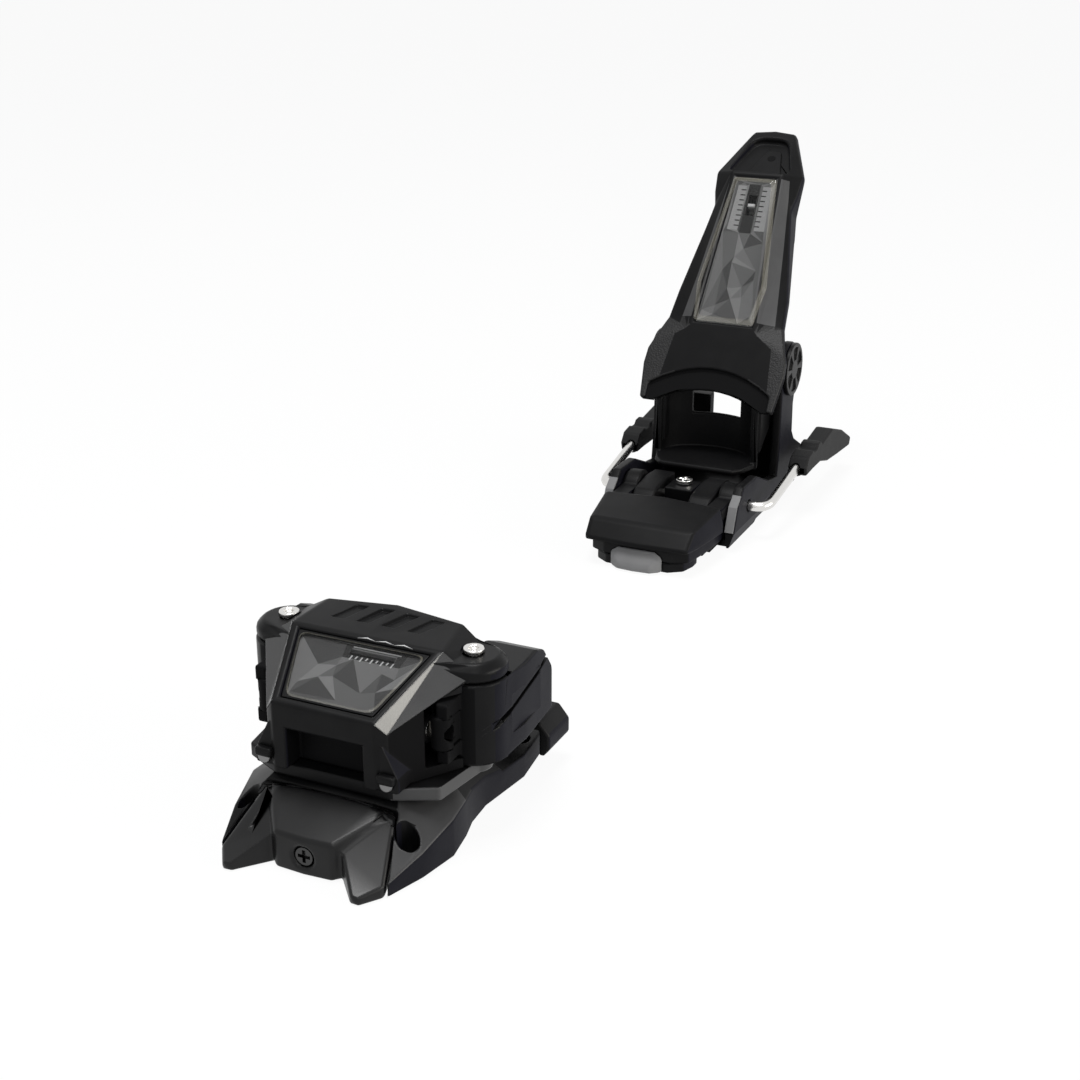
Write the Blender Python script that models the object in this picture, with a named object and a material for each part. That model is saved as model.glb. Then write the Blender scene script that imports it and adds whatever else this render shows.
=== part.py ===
"""Alpine ski binding: a toe piece and a heel piece with a brake, at their places on one ski.

Frame: X across the ski, Y from the toe piece back to the heel piece, Z up, in metres.
The origin lies on the ski's top face, on its centre line, between the two wing pivots.
The rest pose is heel closed, wings shut and brake drawn up beside the heel.
"""

import math

import bmesh
import bpy
from mathutils import Matrix, Vector

MM = 0.001

# Fits
GAP = 0.3 * MM
RUN = 0.4 * MM

# Toe piece, base and cover
BASE_FLOOR = 3.0 * MM
BASE_PLATEAU = 22.0 * MM
RAIL_TOP = 9.0 * MM
BASE_REAR = 56.0 * MM
COVER_BACK = -33.6 * MM
DECK_TOP = 26.5 * MM
DECK_THICKNESS = 4.8 * MM
DECK_EAR_R = 6.0 * MM
MOUNT_HOLE_R = 2.6 * MM
MOUNT_HEAD_R = 3.9 * MM
MOUNT_HEAD_SEAT = 4.0 * MM
TOE_HOLES = ((29.6 * MM, -37.0 * MM), (29.2 * MM, 44.0 * MM))

# Toe piece, wings
WING_PIVOT_X = 34.8 * MM
WING_HUB_R = 11.5 * MM
WING_HEIGHT = 29.0 * MM
WING_REACH = 46.0 * MM
WING_PIN_R = 2.8 * MM
WING_PIN_HEAD_R = 3.5 * MM
WING_PIN_HEAD = 1.6 * MM
WING_OPENING = math.radians(25.0)
CRANK_R = 18.0 * MM
CRANK_LEAN = math.radians(8.0)
FINGER_R = 3.6 * MM
FINGER_HEIGHT = 12.0 * MM
CLAW = 4.5 * MM

# Toe piece, release spring across the ski
BARREL_HEIGHT = 42.0 * MM
PLUNGER_R = 8.0 * MM
PLUNGER_PIN_R = 4.6 * MM
PLUNGER_BODY_END = 17.7 * MM
PLUNGER_MOUTH_RIGHT = 6.0 * MM
PLUNGER_MOUTH_LEFT = 12.0 * MM
PLUNGER_WALL = 1.4 * MM
GUIDE_WALL = 3.0 * MM
TOE_SPRING_R = 4.7 * MM
TOE_SPRING_WIRE_R = 1.1 * MM
TOE_SPRING_TURNS = 6
TENSION_SCREW_R = 2.0 * MM
TENSION_HEAD_R = 2.8 * MM
TENSION_HEAD = 3.0 * MM
TENSION_END = 3.0 * MM
POINTER_X = 8.6 * MM
POINTER_WIDTH = 1.6 * MM
NUT_THICKNESS = 3.4 * MM
TOE_SCALE_TRAVEL = 3.0 * MM

# Toe piece, housing and its window
HOUSING_FRONT = -36.8 * MM
HOUSING_BACK = 13.0 * MM
EAR_THICKNESS = 6.0 * MM
EAR_R = 11.2 * MM
EAR_CHAMFER = 3.4 * MM
ARCH_HALF = 14.0 * MM
ARCH_TOP = 41.3 * MM
FOOT_OUT = 26.5 * MM
RIVET_R = 2.3 * MM
TOE_WINDOW_Y = -34.2 * MM
TOE_WINDOW_Z = 51.4 * MM
TOE_WINDOW_TILT = math.radians(27.3)
TOE_WINDOW_LENGTH = 27.3 * MM
TOE_WINDOW_HALF = (17.0 * MM, 24.6 * MM)
LENS_THICKNESS = 1.6 * MM
SCALE_THICKNESS = 1.2 * MM

# Toe piece, sliding boot rest and its height wedge
HEIGHT_SCREW_Z = 6.2 * MM
HEIGHT_SCREW_R = 2.0 * MM
HEIGHT_HEAD_R = 3.2 * MM
HEIGHT_HEAD = 3.5 * MM
WEDGE_HALF = 14.0 * MM
WEDGE_FRONT = 24.0 * MM
WEDGE_LENGTH = 20.0 * MM
WEDGE_TOP = 12.5 * MM
WEDGE_SLOPE = 0.3
WEDGE_TRAVEL = 10.0 * MM
CARRIER_HALF = 23.0 * MM
CARRIER_FRONT = 30.0 * MM
CARRIER_LENGTH = 27.0 * MM
CARRIER_TOP = 16.5 * MM
SLIDER_HALF = 44.0 * MM
SLIDER_LUG = 4.0 * MM
SLIDER_FRONT = 38.0 * MM
SLIDER_LENGTH = 17.5 * MM
SLIDER_THICKNESS = 3.6 * MM
SLIDER_LUG_DROP = 9.5 * MM

# Heel piece, track and carriage
TRACK_FRONT = 256.0 * MM
TRACK_BACK = 386.0 * MM
TRACK_HALF = 25.0 * MM
TRACK_FOOT_HALF = 21.5 * MM
TRACK_TOP = 5.0 * MM
TRACK_LIP = 2.4 * MM
CHEEK_IN = 28.7 * MM
CHEEK_THICKNESS = 4.6 * MM
CHEEK_FOOT_OUT = 29.6 * MM
TAIL_FOOT_OUT = 28.6 * MM
GUSSET_IN = 8.3 * MM
GUSSET_TOP = 50.0 * MM
CARRIAGE_FRONT = 266.0 * MM
CARRIAGE_BACK = 375.0 * MM
FLOOR_FRONT = 295.0 * MM
FLOOR_TOP = 10.4 * MM
CARRIAGE_TRAVEL = 10.0 * MM
HEEL_HOLE_X = 15.5 * MM
HEEL_HOLE_FRONT = 12.0 * MM
HEEL_HOLE_BACK = 50.0 * MM
WORM_CORE_R = 3.3 * MM
WORM_THREAD_R = 0.8 * MM
WORM_PITCH = 4.0 * MM
WORM_Z = 9.0 * MM
WORM_FRONT = 350.0 * MM
WORM_TURNS = 4
WORM_HEAD_R = 3.5 * MM
WORM_HEAD = 3.6 * MM
RACK_DEPTH = 1.5 * MM
RACK_SLOT = 2.8 * MM
RACK_HALF = 4.6 * MM

# Heel piece, closing housing with its lever
JAW_Y = 312.0 * MM
JAW_Z = 55.0 * MM
FACE_TILT = math.radians(56.66)
PIVOT_V = 28.6 * MM
PIVOT_W = -17.8 * MM
HOUSING_OPENING = math.radians(50.0)
TOWER_HEAD_R = 13.3 * MM
AXLE_R = 4.0 * MM
CAP_R = 13.0 * MM
CAP_THICKNESS = 1.8 * MM
CAP_SPOKES = 6
JAW_PLATE = 3.9 * MM
HUB_R = 12.5 * MM
HUB_OUT = 28.2 * MM
TUBE_HALF = 12.5 * MM
TUBE_DEPTH = 30.0 * MM
TUBE_FOOT = 16.0 * MM
TUBE_TOP = 118.0 * MM
HEEL_WINDOW_V = 42.0 * MM
HEEL_WINDOW_LENGTH = 76.6 * MM
HEEL_WINDOW_HALF = (14.8 * MM, 10.5 * MM)
JAW_ARCH_HALF = 31.0 * MM
JAW_ARCH_TOP = 18.5 * MM
JAW_ARCH_SIDE = 8.0 * MM
JAW_RECESS = 2.0 * MM
JAW_MOUTH_HALF = 27.0 * MM
JAW_MOUTH_TOP = 8.0 * MM

# Heel piece, release spring, piston and cam inside the lever
HEEL_BORE_R = 9.2 * MM
PISTON_R = 8.7 * MM
PISTON_LENGTH = 24.0 * MM
PISTON_NOSE = 5.0 * MM
PISTON_NOSE_R = 1.5 * MM
PISTON_FLOOR = 5.0 * MM
PISTON_WALL = 1.3 * MM
CAM_R = 8.5 * MM
CAM_RISE = 4.0 * MM
CAM_GAP = 0.5 * MM
CAM_HALF = 5.0 * MM
CAM_CAVITY_R = 15.2 * MM
CAM_CAVITY_HALF = 8.0 * MM
HEEL_SPRING_R = 5.1 * MM
HEEL_SPRING_WIRE_R = 1.3 * MM
HEEL_SPRING_TURNS = 10
HEEL_NUT_V = 105.0 * MM
HEEL_NUT_R = 8.6 * MM
HEEL_SCREW_R = 2.2 * MM
HEEL_HEAD_R = 4.2 * MM
HEEL_HEAD = 3.6 * MM
HEEL_SCALE_TRAVEL = 4.0 * MM

# Heel piece, cup under the boot heel
CUP_CENTRE_Y = 316.0 * MM
CUP_HALF = 26.5 * MM
CUP_DEPTH = 20.0 * MM
CUP_WALL = 3.0 * MM
CUP_BOTTOM = 24.0 * MM
CUP_TOP = 57.0 * MM
CUP_LIP = 3.0 * MM
CUP_FRONT = 302.0 * MM
CUP_NOTCH = 12.5 * MM
CUP_NOTCH_HALF = 12.6 * MM

# Heel piece, brake
BRAKE_Y = 286.2 * MM
BRAKE_Z = 16.7 * MM
BRAKE_SWING = math.radians(60.0)
WIRE_R = 2.5 * MM
WIRE_BEND_X = 42.0 * MM
WIRE_BEND_R = 7.0 * MM
WIRE_KNEE_R = 2.5 * MM
WIRE_KNEE = (43.6 * MM, 336.0 * MM, 25.5 * MM)
WIRE_END = (45.0 * MM, 366.0 * MM, 25.5 * MM)
WIRE_START_X = 20.5 * MM
BRAKE_BASE_TOP = 11.4 * MM
BRAKE_BASE_REACH = 28.4 * MM
BRAKE_BASE_BACK = 294.0 * MM
BOSS_HALF = 7.0 * MM
BOSS_TOP = 22.4 * MM
PEDAL_REACH = 2.8 * MM
PEDAL_BACK = 263.0 * MM
PEDAL_LUG_IN = 20.0 * MM
PEDAL_LUG_OUT = 27.4 * MM
PEDAL_LUG_R = 4.8 * MM
BRAKE_AXLE_R = 2.3 * MM
BRAKE_SPRING_R = 4.0 * MM
BRAKE_SPRING_WIRE_R = 0.8 * MM
BRAKE_SPRING_TURNS = 4
BRAKE_SCREW_R = 4.0 * MM
BRAKE_SCREW_HEAD = 2.0 * MM
SHOE_HALF_WIDTH = 4.6 * MM
CHIN_HALF = 13.0 * MM
CHIN_REACH = 5.0 * MM

# Worked out from the sizes above
WING_Z0 = DECK_TOP + RUN
WING_Z1 = WING_Z0 + WING_HEIGHT
EAR_Z0 = WING_Z1 + RUN
EAR_Z1 = EAR_Z0 + EAR_THICKNESS
HOUSING_FLOOR = DECK_TOP + GAP
FINGER_X = WING_PIVOT_X - CRANK_R * math.sin(CRANK_LEAN)
BARREL_Y = -CRANK_R * math.cos(CRANK_LEAN)
PLUNGER_END = FINGER_X - FINGER_R - GAP
PLUNGER_BORE_R = PLUNGER_R - PLUNGER_WALL
PLUNGER_TRAVEL = CRANK_R * math.cos(CRANK_LEAN) * WING_OPENING
GUIDE_OUT = PLUNGER_BODY_END + GAP + GUIDE_WALL
WINDOW_POCKET = LENS_THICKNESS + SCALE_THICKNESS + 2 * GAP
CHEEK_OUT = CHEEK_IN + CHEEK_THICKNESS
PIVOT_Y = JAW_Y + PIVOT_V * math.cos(FACE_TILT) - PIVOT_W * math.sin(FACE_TILT)
PIVOT_Z = JAW_Z + PIVOT_V * math.sin(FACE_TILT) + PIVOT_W * math.cos(FACE_TILT)
PISTON_TIP_V = PIVOT_V + CAM_R + CAM_GAP
PISTON_TOP_V = PISTON_TIP_V + PISTON_LENGTH
NUT_FRONT_V = HEEL_NUT_V - NUT_THICKNESS / 2
BRAKE_BASE_FRONT = TRACK_FRONT - BRAKE_BASE_REACH
PEDAL_FRONT = BRAKE_BASE_FRONT - PEDAL_REACH
CHIN_FRONT = BRAKE_BASE_FRONT - CHIN_REACH


# Materials


def make_material(name, colour, roughness, metallic=0.0, transmission=0.0):
    material = bpy.data.materials.new(name)
    material.use_nodes = True
    shader = material.node_tree.nodes["Principled BSDF"]
    shader.inputs["Base Color"].default_value = (*colour, 1.0)
    shader.inputs["Roughness"].default_value = roughness
    shader.inputs["Metallic"].default_value = metallic
    shader.inputs["Transmission Weight"].default_value = transmission
    return material


def make_materials():
    return {
        "black": make_material("black_plastic", (0.012, 0.012, 0.014), 0.38),
        "rubber": make_material("black_rubber", (0.015, 0.015, 0.016), 0.7),
        "grey": make_material("grey_plastic", (0.17, 0.17, 0.17), 0.5),
        "print": make_material("grey_print", (0.12, 0.12, 0.125), 0.5),
        "white": make_material("white_pointer", (0.8, 0.8, 0.8), 0.5),
        "clear": make_material("clear_lens", (0.95, 0.95, 0.95), 0.05, 0.0, 0.95),
        "steel": make_material("bright_steel", (0.62, 0.62, 0.6), 0.25, 1.0),
        "spring": make_material("spring_steel", (0.3, 0.3, 0.31), 0.35, 1.0),
    }


# Shapes as loose meshes


def loft(sections, plane="XY"):
    """Solid through outlines of equal count, each given with its level along the third axis."""
    order = {"XY": (0, 1, 2), "XZ": (0, 2, 1), "YZ": (1, 2, 0)}[plane]
    bm = bmesh.new()
    rings = []
    for outline, level in sections:
        ring = []
        for a, b in outline:
            place = [0.0, 0.0, 0.0]
            place[order[0]], place[order[1]], place[order[2]] = a, b, level
            ring.append(bm.verts.new(place))
        rings.append(ring)
    bm.faces.new(rings[0])
    bm.faces.new(rings[-1])
    count = len(rings[0])
    for lower, upper in zip(rings, rings[1:]):
        for i in range(count):
            j = (i + 1) % count
            bm.faces.new((lower[i], lower[j], upper[j], upper[i]))
    bmesh.ops.recalc_face_normals(bm, faces=bm.faces)
    return bm


def prism(outline, low, high, plane="XY"):
    """Closed outline in one plane, drawn out from low to high along the third axis."""
    return loft(((outline, low), (outline, high)), plane)


def box(x_span, y_span, z_span):
    (x0, x1), (y0, y1) = x_span, y_span
    return prism(((x0, y0), (x1, y0), (x1, y1), (x0, y1)), z_span[0], z_span[1])


def arc(centre, radius, start, end, steps):
    """Points on an arc, angles in degrees from the first axis of the outline's plane."""
    points = []
    for i in range(steps + 1):
        angle = math.radians(start + (end - start) * i / steps)
        points.append((centre[0] + radius * math.cos(angle), centre[1] + radius * math.sin(angle)))
    return points


def disc(plane, centre, radius, low, high, sides=24):
    """Round bar across a plane: its axis is the plane's normal, its flats lie on the axes."""
    half_step = 180 / sides
    return prism(arc(centre, radius, half_step, 360 - half_step, sides - 1), low, high, plane)


def mirrored(half):
    """Whole outline from its right half, which runs from x = 0 round to x = 0."""
    left = [(-x, y) for x, y in reversed(half) if x > 0]
    return list(half) + left


def relief(points, faces, floor):
    """Solid under a faceted top, from the named corners of its right half, mirrored in x."""
    bm = bmesh.new()
    tops = {}
    bottoms = {}
    for name, (x, y, z) in points.items():
        depth = floor.get(name, floor["all"])
        for side in ((1, -1) if x > 0 else (0,)):
            tops[name, side] = bm.verts.new((x * (side or 1), y, z))
            bottoms[name, side] = bm.verts.new((x * (side or 1), y, depth))
    uses = {}
    for face in faces:
        for side in (1, -1):
            keys = [(name, side if points[name][0] > 0 else 0) for name in face]
            bm.faces.new([tops[key] for key in keys])
            bm.faces.new([bottoms[key] for key in keys])
            for i, key in enumerate(keys):
                edge = frozenset((key, keys[(i + 1) % len(keys)]))
                uses[edge] = uses.get(edge, 0) + 1
    for edge, count in uses.items():
        if count == 1:
            a, b = sorted(edge)
            bm.faces.new((tops[a], tops[b], bottoms[b], bottoms[a]))
    bmesh.ops.triangulate(bm, faces=bm.faces)
    bmesh.ops.recalc_face_normals(bm, faces=bm.faces)
    return bm


def tilted(bm, frame):
    bm.transform(frame)
    return bm


def merged(shapes):
    """One mesh of several shapes that stay clear of each other."""
    whole = bmesh.new()
    for bm in shapes:
        mesh = bpy.data.meshes.new("shape")
        bm.to_mesh(mesh)
        bm.free()
        whole.from_mesh(mesh)
        bpy.data.meshes.remove(mesh)
    return whole


# Objects


def make_object(name, bm, material=None):
    mesh = bpy.data.meshes.new(name)
    bm.to_mesh(mesh)
    bm.free()
    obj = bpy.data.objects.new(name, mesh)
    bpy.context.scene.collection.objects.link(obj)
    if material:
        mesh.materials.append(material)
    return obj


def apply_modifiers(obj):
    graph = bpy.context.evaluated_depsgraph_get()
    mesh = bpy.data.meshes.new_from_object(obj.evaluated_get(graph))
    old = obj.data
    obj.modifiers.clear()
    obj.data = mesh
    mesh.name = obj.name
    bpy.data.meshes.remove(old)


def combine(obj, tools, operation):
    for bm in tools:
        tool = make_object("tool", bm)
        modifier = obj.modifiers.new("combine", "BOOLEAN")
        modifier.operation = operation
        modifier.object = tool
        apply_modifiers(obj)
        mesh = tool.data
        bpy.data.objects.remove(tool)
        bpy.data.meshes.remove(mesh)
    return obj


def cut(obj, *tools):
    return combine(obj, tools, "DIFFERENCE")


def join(obj, *tools):
    return combine(obj, tools, "UNION")


def side_span(side, low, high):
    return (low, high) if side > 0 else (-high, -low)


def joint_empty(name, place):
    empty = bpy.data.objects.new(name, None)
    empty.location = place
    bpy.context.scene.collection.objects.link(empty)
    return empty


def carry(parent, *pieces):
    """Parent pieces without moving them."""
    bpy.context.view_layer.update()
    for piece in pieces:
        piece.parent = parent
        piece.matrix_parent_inverse = parent.matrix_world.inverted()


def smooth(obj):
    obj.data.shade_smooth()
    obj.data.set_sharp_from_angle(angle=math.radians(35))
    return obj


def tube(name, points, radius, material, resolution=1):
    """Round wire along a list of points, closed at both ends."""
    curve = bpy.data.curves.new(name, "CURVE")
    curve.dimensions = "3D"
    curve.bevel_depth = radius
    curve.bevel_resolution = resolution
    curve.use_fill_caps = True
    spline = curve.splines.new("POLY")
    spline.points.add(len(points) - 1)
    for target, point in zip(spline.points, points):
        target.co = (*point, 1.0)
    curve.materials.append(material)
    obj = bpy.data.objects.new(name, curve)
    bpy.context.scene.collection.objects.link(obj)
    return obj


def coil_points(radius, length, turns, wire_r, steps=9):
    """Coil along +Z from z = 0, its ends running straight along the last turn for one wire width."""
    rise = length - 2 * wire_r
    points = []
    for i in range(turns * steps + 1):
        angle = 2 * math.pi * i / steps
        z = wire_r + rise * i / (turns * steps)
        points.append(Vector((radius * math.cos(angle), radius * math.sin(angle), z)))
    lead_in = (points[0] - points[1]).normalized() * 2 * wire_r
    lead_out = (points[-1] - points[-2]).normalized() * 2 * wire_r
    lead_in.z = 0.0
    lead_out.z = 0.0
    return [points[0] + lead_in] + points + [points[-1] + lead_out]


def print_self_gap(name, points, wire_r, steps=9):
    """Least clear space between a coil's wire and itself, half a turn or more along it."""
    least = math.inf
    for i, a in enumerate(points):
        for b in points[i + steps // 2 + 1:]:
            least = min(least, (a - b).length - 2 * wire_r)
    print(f"{name}: least gap to itself {least / MM:.2f} mm")


def along(origin, direction, upright):
    """Frame whose +Z runs along a direction."""
    z = Vector(direction).normalized()
    x = Vector(upright).cross(z).normalized()
    y = z.cross(x)
    return Matrix.Translation(origin) @ Matrix((x, y, z)).transposed().to_4x4()


# Toe piece


def toe_window_frame():
    return (Matrix.Translation((0, TOE_WINDOW_Y, TOE_WINDOW_Z))
            @ Matrix.Rotation(TOE_WINDOW_TILT, 4, "X"))


def trapezoid(start, length, halves, inset):
    low, high = halves[0] - inset, halves[1] - inset
    return ((-low, start + inset), (low, start + inset),
            (high, start + length - inset), (-high, start + length - inset))


def toe_base(mats):
    """Foot plate with faceted shoulders, a deck for the wings, rails for the boot rest."""
    front = COVER_BACK + RUN
    points = {
        "back_mid": (0, front, BASE_PLATEAU - 2.4 * MM),
        "seam_in": (24.4 * MM, front, BASE_PLATEAU - 2.4 * MM),
        "step_mid": (0, front + 4 * MM, BASE_PLATEAU),
        "step": (22.5 * MM, front + 4 * MM, BASE_PLATEAU),
        "seam_out": (30.6 * MM, front - 19.0 * MM, 4.4 * MM),
        "edge_1": (35.4 * MM, -37.3 * MM, 9.0 * MM),
        "edge_2": (38.2 * MM, -22.2 * MM, 13.5 * MM),
        "edge_3": (36.2 * MM, -9.5 * MM, 13.5 * MM),
        "edge_4": (34.0 * MM, -1.0 * MM, 12.5 * MM),
        "edge_5": (33.2 * MM, 10.7 * MM, 11.0 * MM),
        "plateau_1": (27.0 * MM, -8.0 * MM, BASE_PLATEAU),
        "plateau_2": (25.0 * MM, 12.0 * MM, BASE_PLATEAU),
        "plateau_mid": (0, 12.0 * MM, BASE_PLATEAU),
        "ramp": (25.0 * MM, 14.5 * MM, RAIL_TOP),
        "ramp_mid": (0, 14.5 * MM, RAIL_TOP),
        "edge_6": (34.6 * MM, 20.5 * MM, RAIL_TOP),
        "edge_7": (36.4 * MM, 34.0 * MM, RAIL_TOP),
        "edge_8": (34.0 * MM, BASE_REAR - 2 * MM, RAIL_TOP),
        "rear": (25.0 * MM, BASE_REAR, RAIL_TOP),
        "rear_mid": (0, BASE_REAR, RAIL_TOP),
    }
    faces = (
        ("back_mid", "seam_in", "step", "step_mid"),
        ("step_mid", "step", "plateau_1", "plateau_2", "plateau_mid"),
        ("seam_in", "seam_out", "edge_1"), ("seam_in", "edge_1", "edge_2"),
        ("seam_in", "edge_2", "step"), ("step", "edge_2", "plateau_1"),
        ("plateau_1", "edge_2", "edge_3"),
        ("plateau_1", "edge_3", "edge_4"), ("plateau_1", "edge_4", "plateau_2"),
        ("plateau_2", "edge_4", "edge_5"), ("plateau_mid", "plateau_2", "ramp", "ramp_mid"),
        ("plateau_2", "edge_5", "edge_6"), ("plateau_2", "edge_6", "ramp"),
        ("ramp_mid", "ramp", "rear", "rear_mid"), ("ramp", "edge_6", "edge_7"),
        ("ramp", "edge_7", "edge_8"), ("ramp", "edge_8", "rear"),
    )
    base = make_object("toe_base", relief(points, faces, {"all": 0.0}), mats["black"])
    ear = arc((WING_PIVOT_X, 0), DECK_EAR_R, -50, 90, 10)
    deck_front = COVER_BACK + 2 * RUN
    deck = [(0, deck_front), (21.5 * MM, deck_front), (26.0 * MM, deck_front + 2 * MM),
            (35.5 * MM, -26.0 * MM)] + ear + [(25.0 * MM, 13.5 * MM), (0, 13.5 * MM)]
    join(base, prism(mirrored(deck), DECK_TOP - DECK_THICKNESS, DECK_TOP))
    bore_r = HEIGHT_SCREW_R + RUN
    pocket_back = BASE_REAR + 4 * MM
    cut(base,
        disc("XZ", (0, HEIGHT_SCREW_Z), bore_r, front - 1 * MM, WEDGE_FRONT, 16),
        box((-WEDGE_HALF - RUN, WEDGE_HALF + RUN), (WEDGE_FRONT - 3 * MM, pocket_back),
            (BASE_FLOOR, CARRIER_TOP)),
        box((-CARRIER_HALF - RUN, CARRIER_HALF + RUN), (CARRIER_FRONT - RUN, pocket_back),
            (BASE_FLOOR, CARRIER_TOP)))
    for side in (1, -1):
        pin_low = DECK_TOP - DECK_THICKNESS - 1 * MM
        cut(base, disc("XY", (side * WING_PIVOT_X, 0), WING_PIN_R + GAP, pin_low, DECK_TOP + 1 * MM, 16))
        for x, y in TOE_HOLES:
            cut(base, disc("XY", (side * x, y), MOUNT_HOLE_R, -1 * MM, BASE_PLATEAU, 16),
                disc("XY", (side * x, y), MOUNT_HEAD_R, MOUNT_HEAD_SEAT, BASE_PLATEAU, 16))
    return base


def toe_nose_cover(mats):
    """Front fairing: a sloping nose between two pointed prongs."""
    points = {
        "nose_mid": (0, -52.0 * MM, 13.1 * MM),
        "nose": (10.7 * MM, -51.4 * MM, 13.1 * MM),
        "brow": (16.1 * MM, COVER_BACK - 1 * MM, 20.3 * MM),
        "brow_mid": (0, COVER_BACK, 20.3 * MM),
        "notch": (12.8 * MM, -49.2 * MM, 10.6 * MM),
        "tip_in": (22.0 * MM, -60.0 * MM, 3.2 * MM),
        "tip": (24.8 * MM, -60.2 * MM, 3.0 * MM),
        "seam_out": (30.1 * MM, COVER_BACK - 19.0 * MM, 4.4 * MM),
        "seam_in": (24.0 * MM, COVER_BACK, 19.6 * MM),
    }
    faces = (
        ("nose_mid", "nose", "brow", "brow_mid"), ("nose", "notch", "seam_in"),
        ("nose", "seam_in", "brow"), ("brow_mid", "brow", "seam_in"),
        ("notch", "tip_in", "seam_out"), ("tip_in", "tip", "seam_out"),
        ("notch", "seam_out", "seam_in"),
    )
    cover = make_object("toe_nose_cover", relief(points, faces, {"all": 0.0}), mats["black"])
    head = disc("XZ", (0, HEIGHT_SCREW_Z), HEIGHT_HEAD_R + RUN, -70 * MM, COVER_BACK + 1 * MM, 16)
    return cut(cover, head)


def toe_housing(mats):
    """Upper shell: window frame on top, ears over the wings, a bore across it for the spring."""
    rise = math.tan(TOE_WINDOW_TILT)
    front_z = TOE_WINDOW_Z + (HOUSING_FRONT - TOE_WINDOW_Y) * rise
    brow_y = TOE_WINDOW_Y + (TOE_WINDOW_LENGTH + 1.8 * MM) * math.cos(TOE_WINDOW_TILT)
    brow_z = TOE_WINDOW_Z + (brow_y - TOE_WINDOW_Y) * rise
    frame_half = TOE_WINDOW_HALF[1] + 3.5 * MM
    points = {
        "front_mid": (0, HOUSING_FRONT, front_z),
        "front": (TOE_WINDOW_HALF[0] + 1.8 * MM, HOUSING_FRONT, front_z),
        "cheek": (TOE_WINDOW_HALF[0] + 5 * MM, HOUSING_FRONT + 2.2 * MM, front_z - 4 * MM),
        "brow_mid": (0, brow_y, brow_z),
        "brow": (frame_half, brow_y, brow_z),
        "side_front": (WING_PIVOT_X + 3.7 * MM, -9.0 * MM, EAR_Z1 - 4 * MM),
        "side_back": (WING_PIVOT_X + 1.7 * MM, 7.0 * MM, EAR_Z1 - 1.5 * MM),
        "rim": (25.5 * MM, HOUSING_BACK - 2.2 * MM, EAR_Z1 + 4 * MM),
        "rim_mid": (0, HOUSING_BACK, EAR_Z1 + 5.3 * MM),
    }
    faces = (
        ("front_mid", "front", "brow", "brow_mid"), ("front", "cheek", "side_front", "brow"),
        ("brow_mid", "brow", "rim", "rim_mid"), ("brow", "side_front", "side_back", "rim"),
    )
    shell = make_object("toe_housing", relief(points, faces, {"all": HOUSING_FLOOR}), mats["black"])
    foot_top = ARCH_TOP + 1 * MM
    foot = ((ARCH_HALF - 3 * MM, HOUSING_FLOOR), (FOOT_OUT, HOUSING_FLOOR),
            (FOOT_OUT, HOUSING_FLOOR + 4.5 * MM), (21.0 * MM, foot_top),
            (ARCH_HALF - 3 * MM, foot_top))
    for side in (1, -1):
        join(shell, housing_ear(side),
             prism([(side * x, z) for x, z in foot], HOUSING_FRONT + 0.8 * MM, BARREL_Y, "XZ"))
    cut_toe_housing(shell)
    return shell


def housing_ear(side):
    """Lobe over one wing pivot, its top edge chamfered."""
    sections = []
    levels = ((EAR_R, EAR_Z0), (EAR_R, EAR_Z0 + EAR_CHAMFER), (EAR_R - 0.75 * EAR_CHAMFER, EAR_Z1))
    for radius, level in levels:
        outline = [(26.0 * MM, -13.0 * MM)] + arc((WING_PIVOT_X, 0), radius, -70, 70, 12)
        outline = [(side * x, y) for x, y in outline + [(26.0 * MM, HOUSING_BACK - 3 * MM)]]
        sections.append((outline, level))
    return loft(sections)


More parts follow.
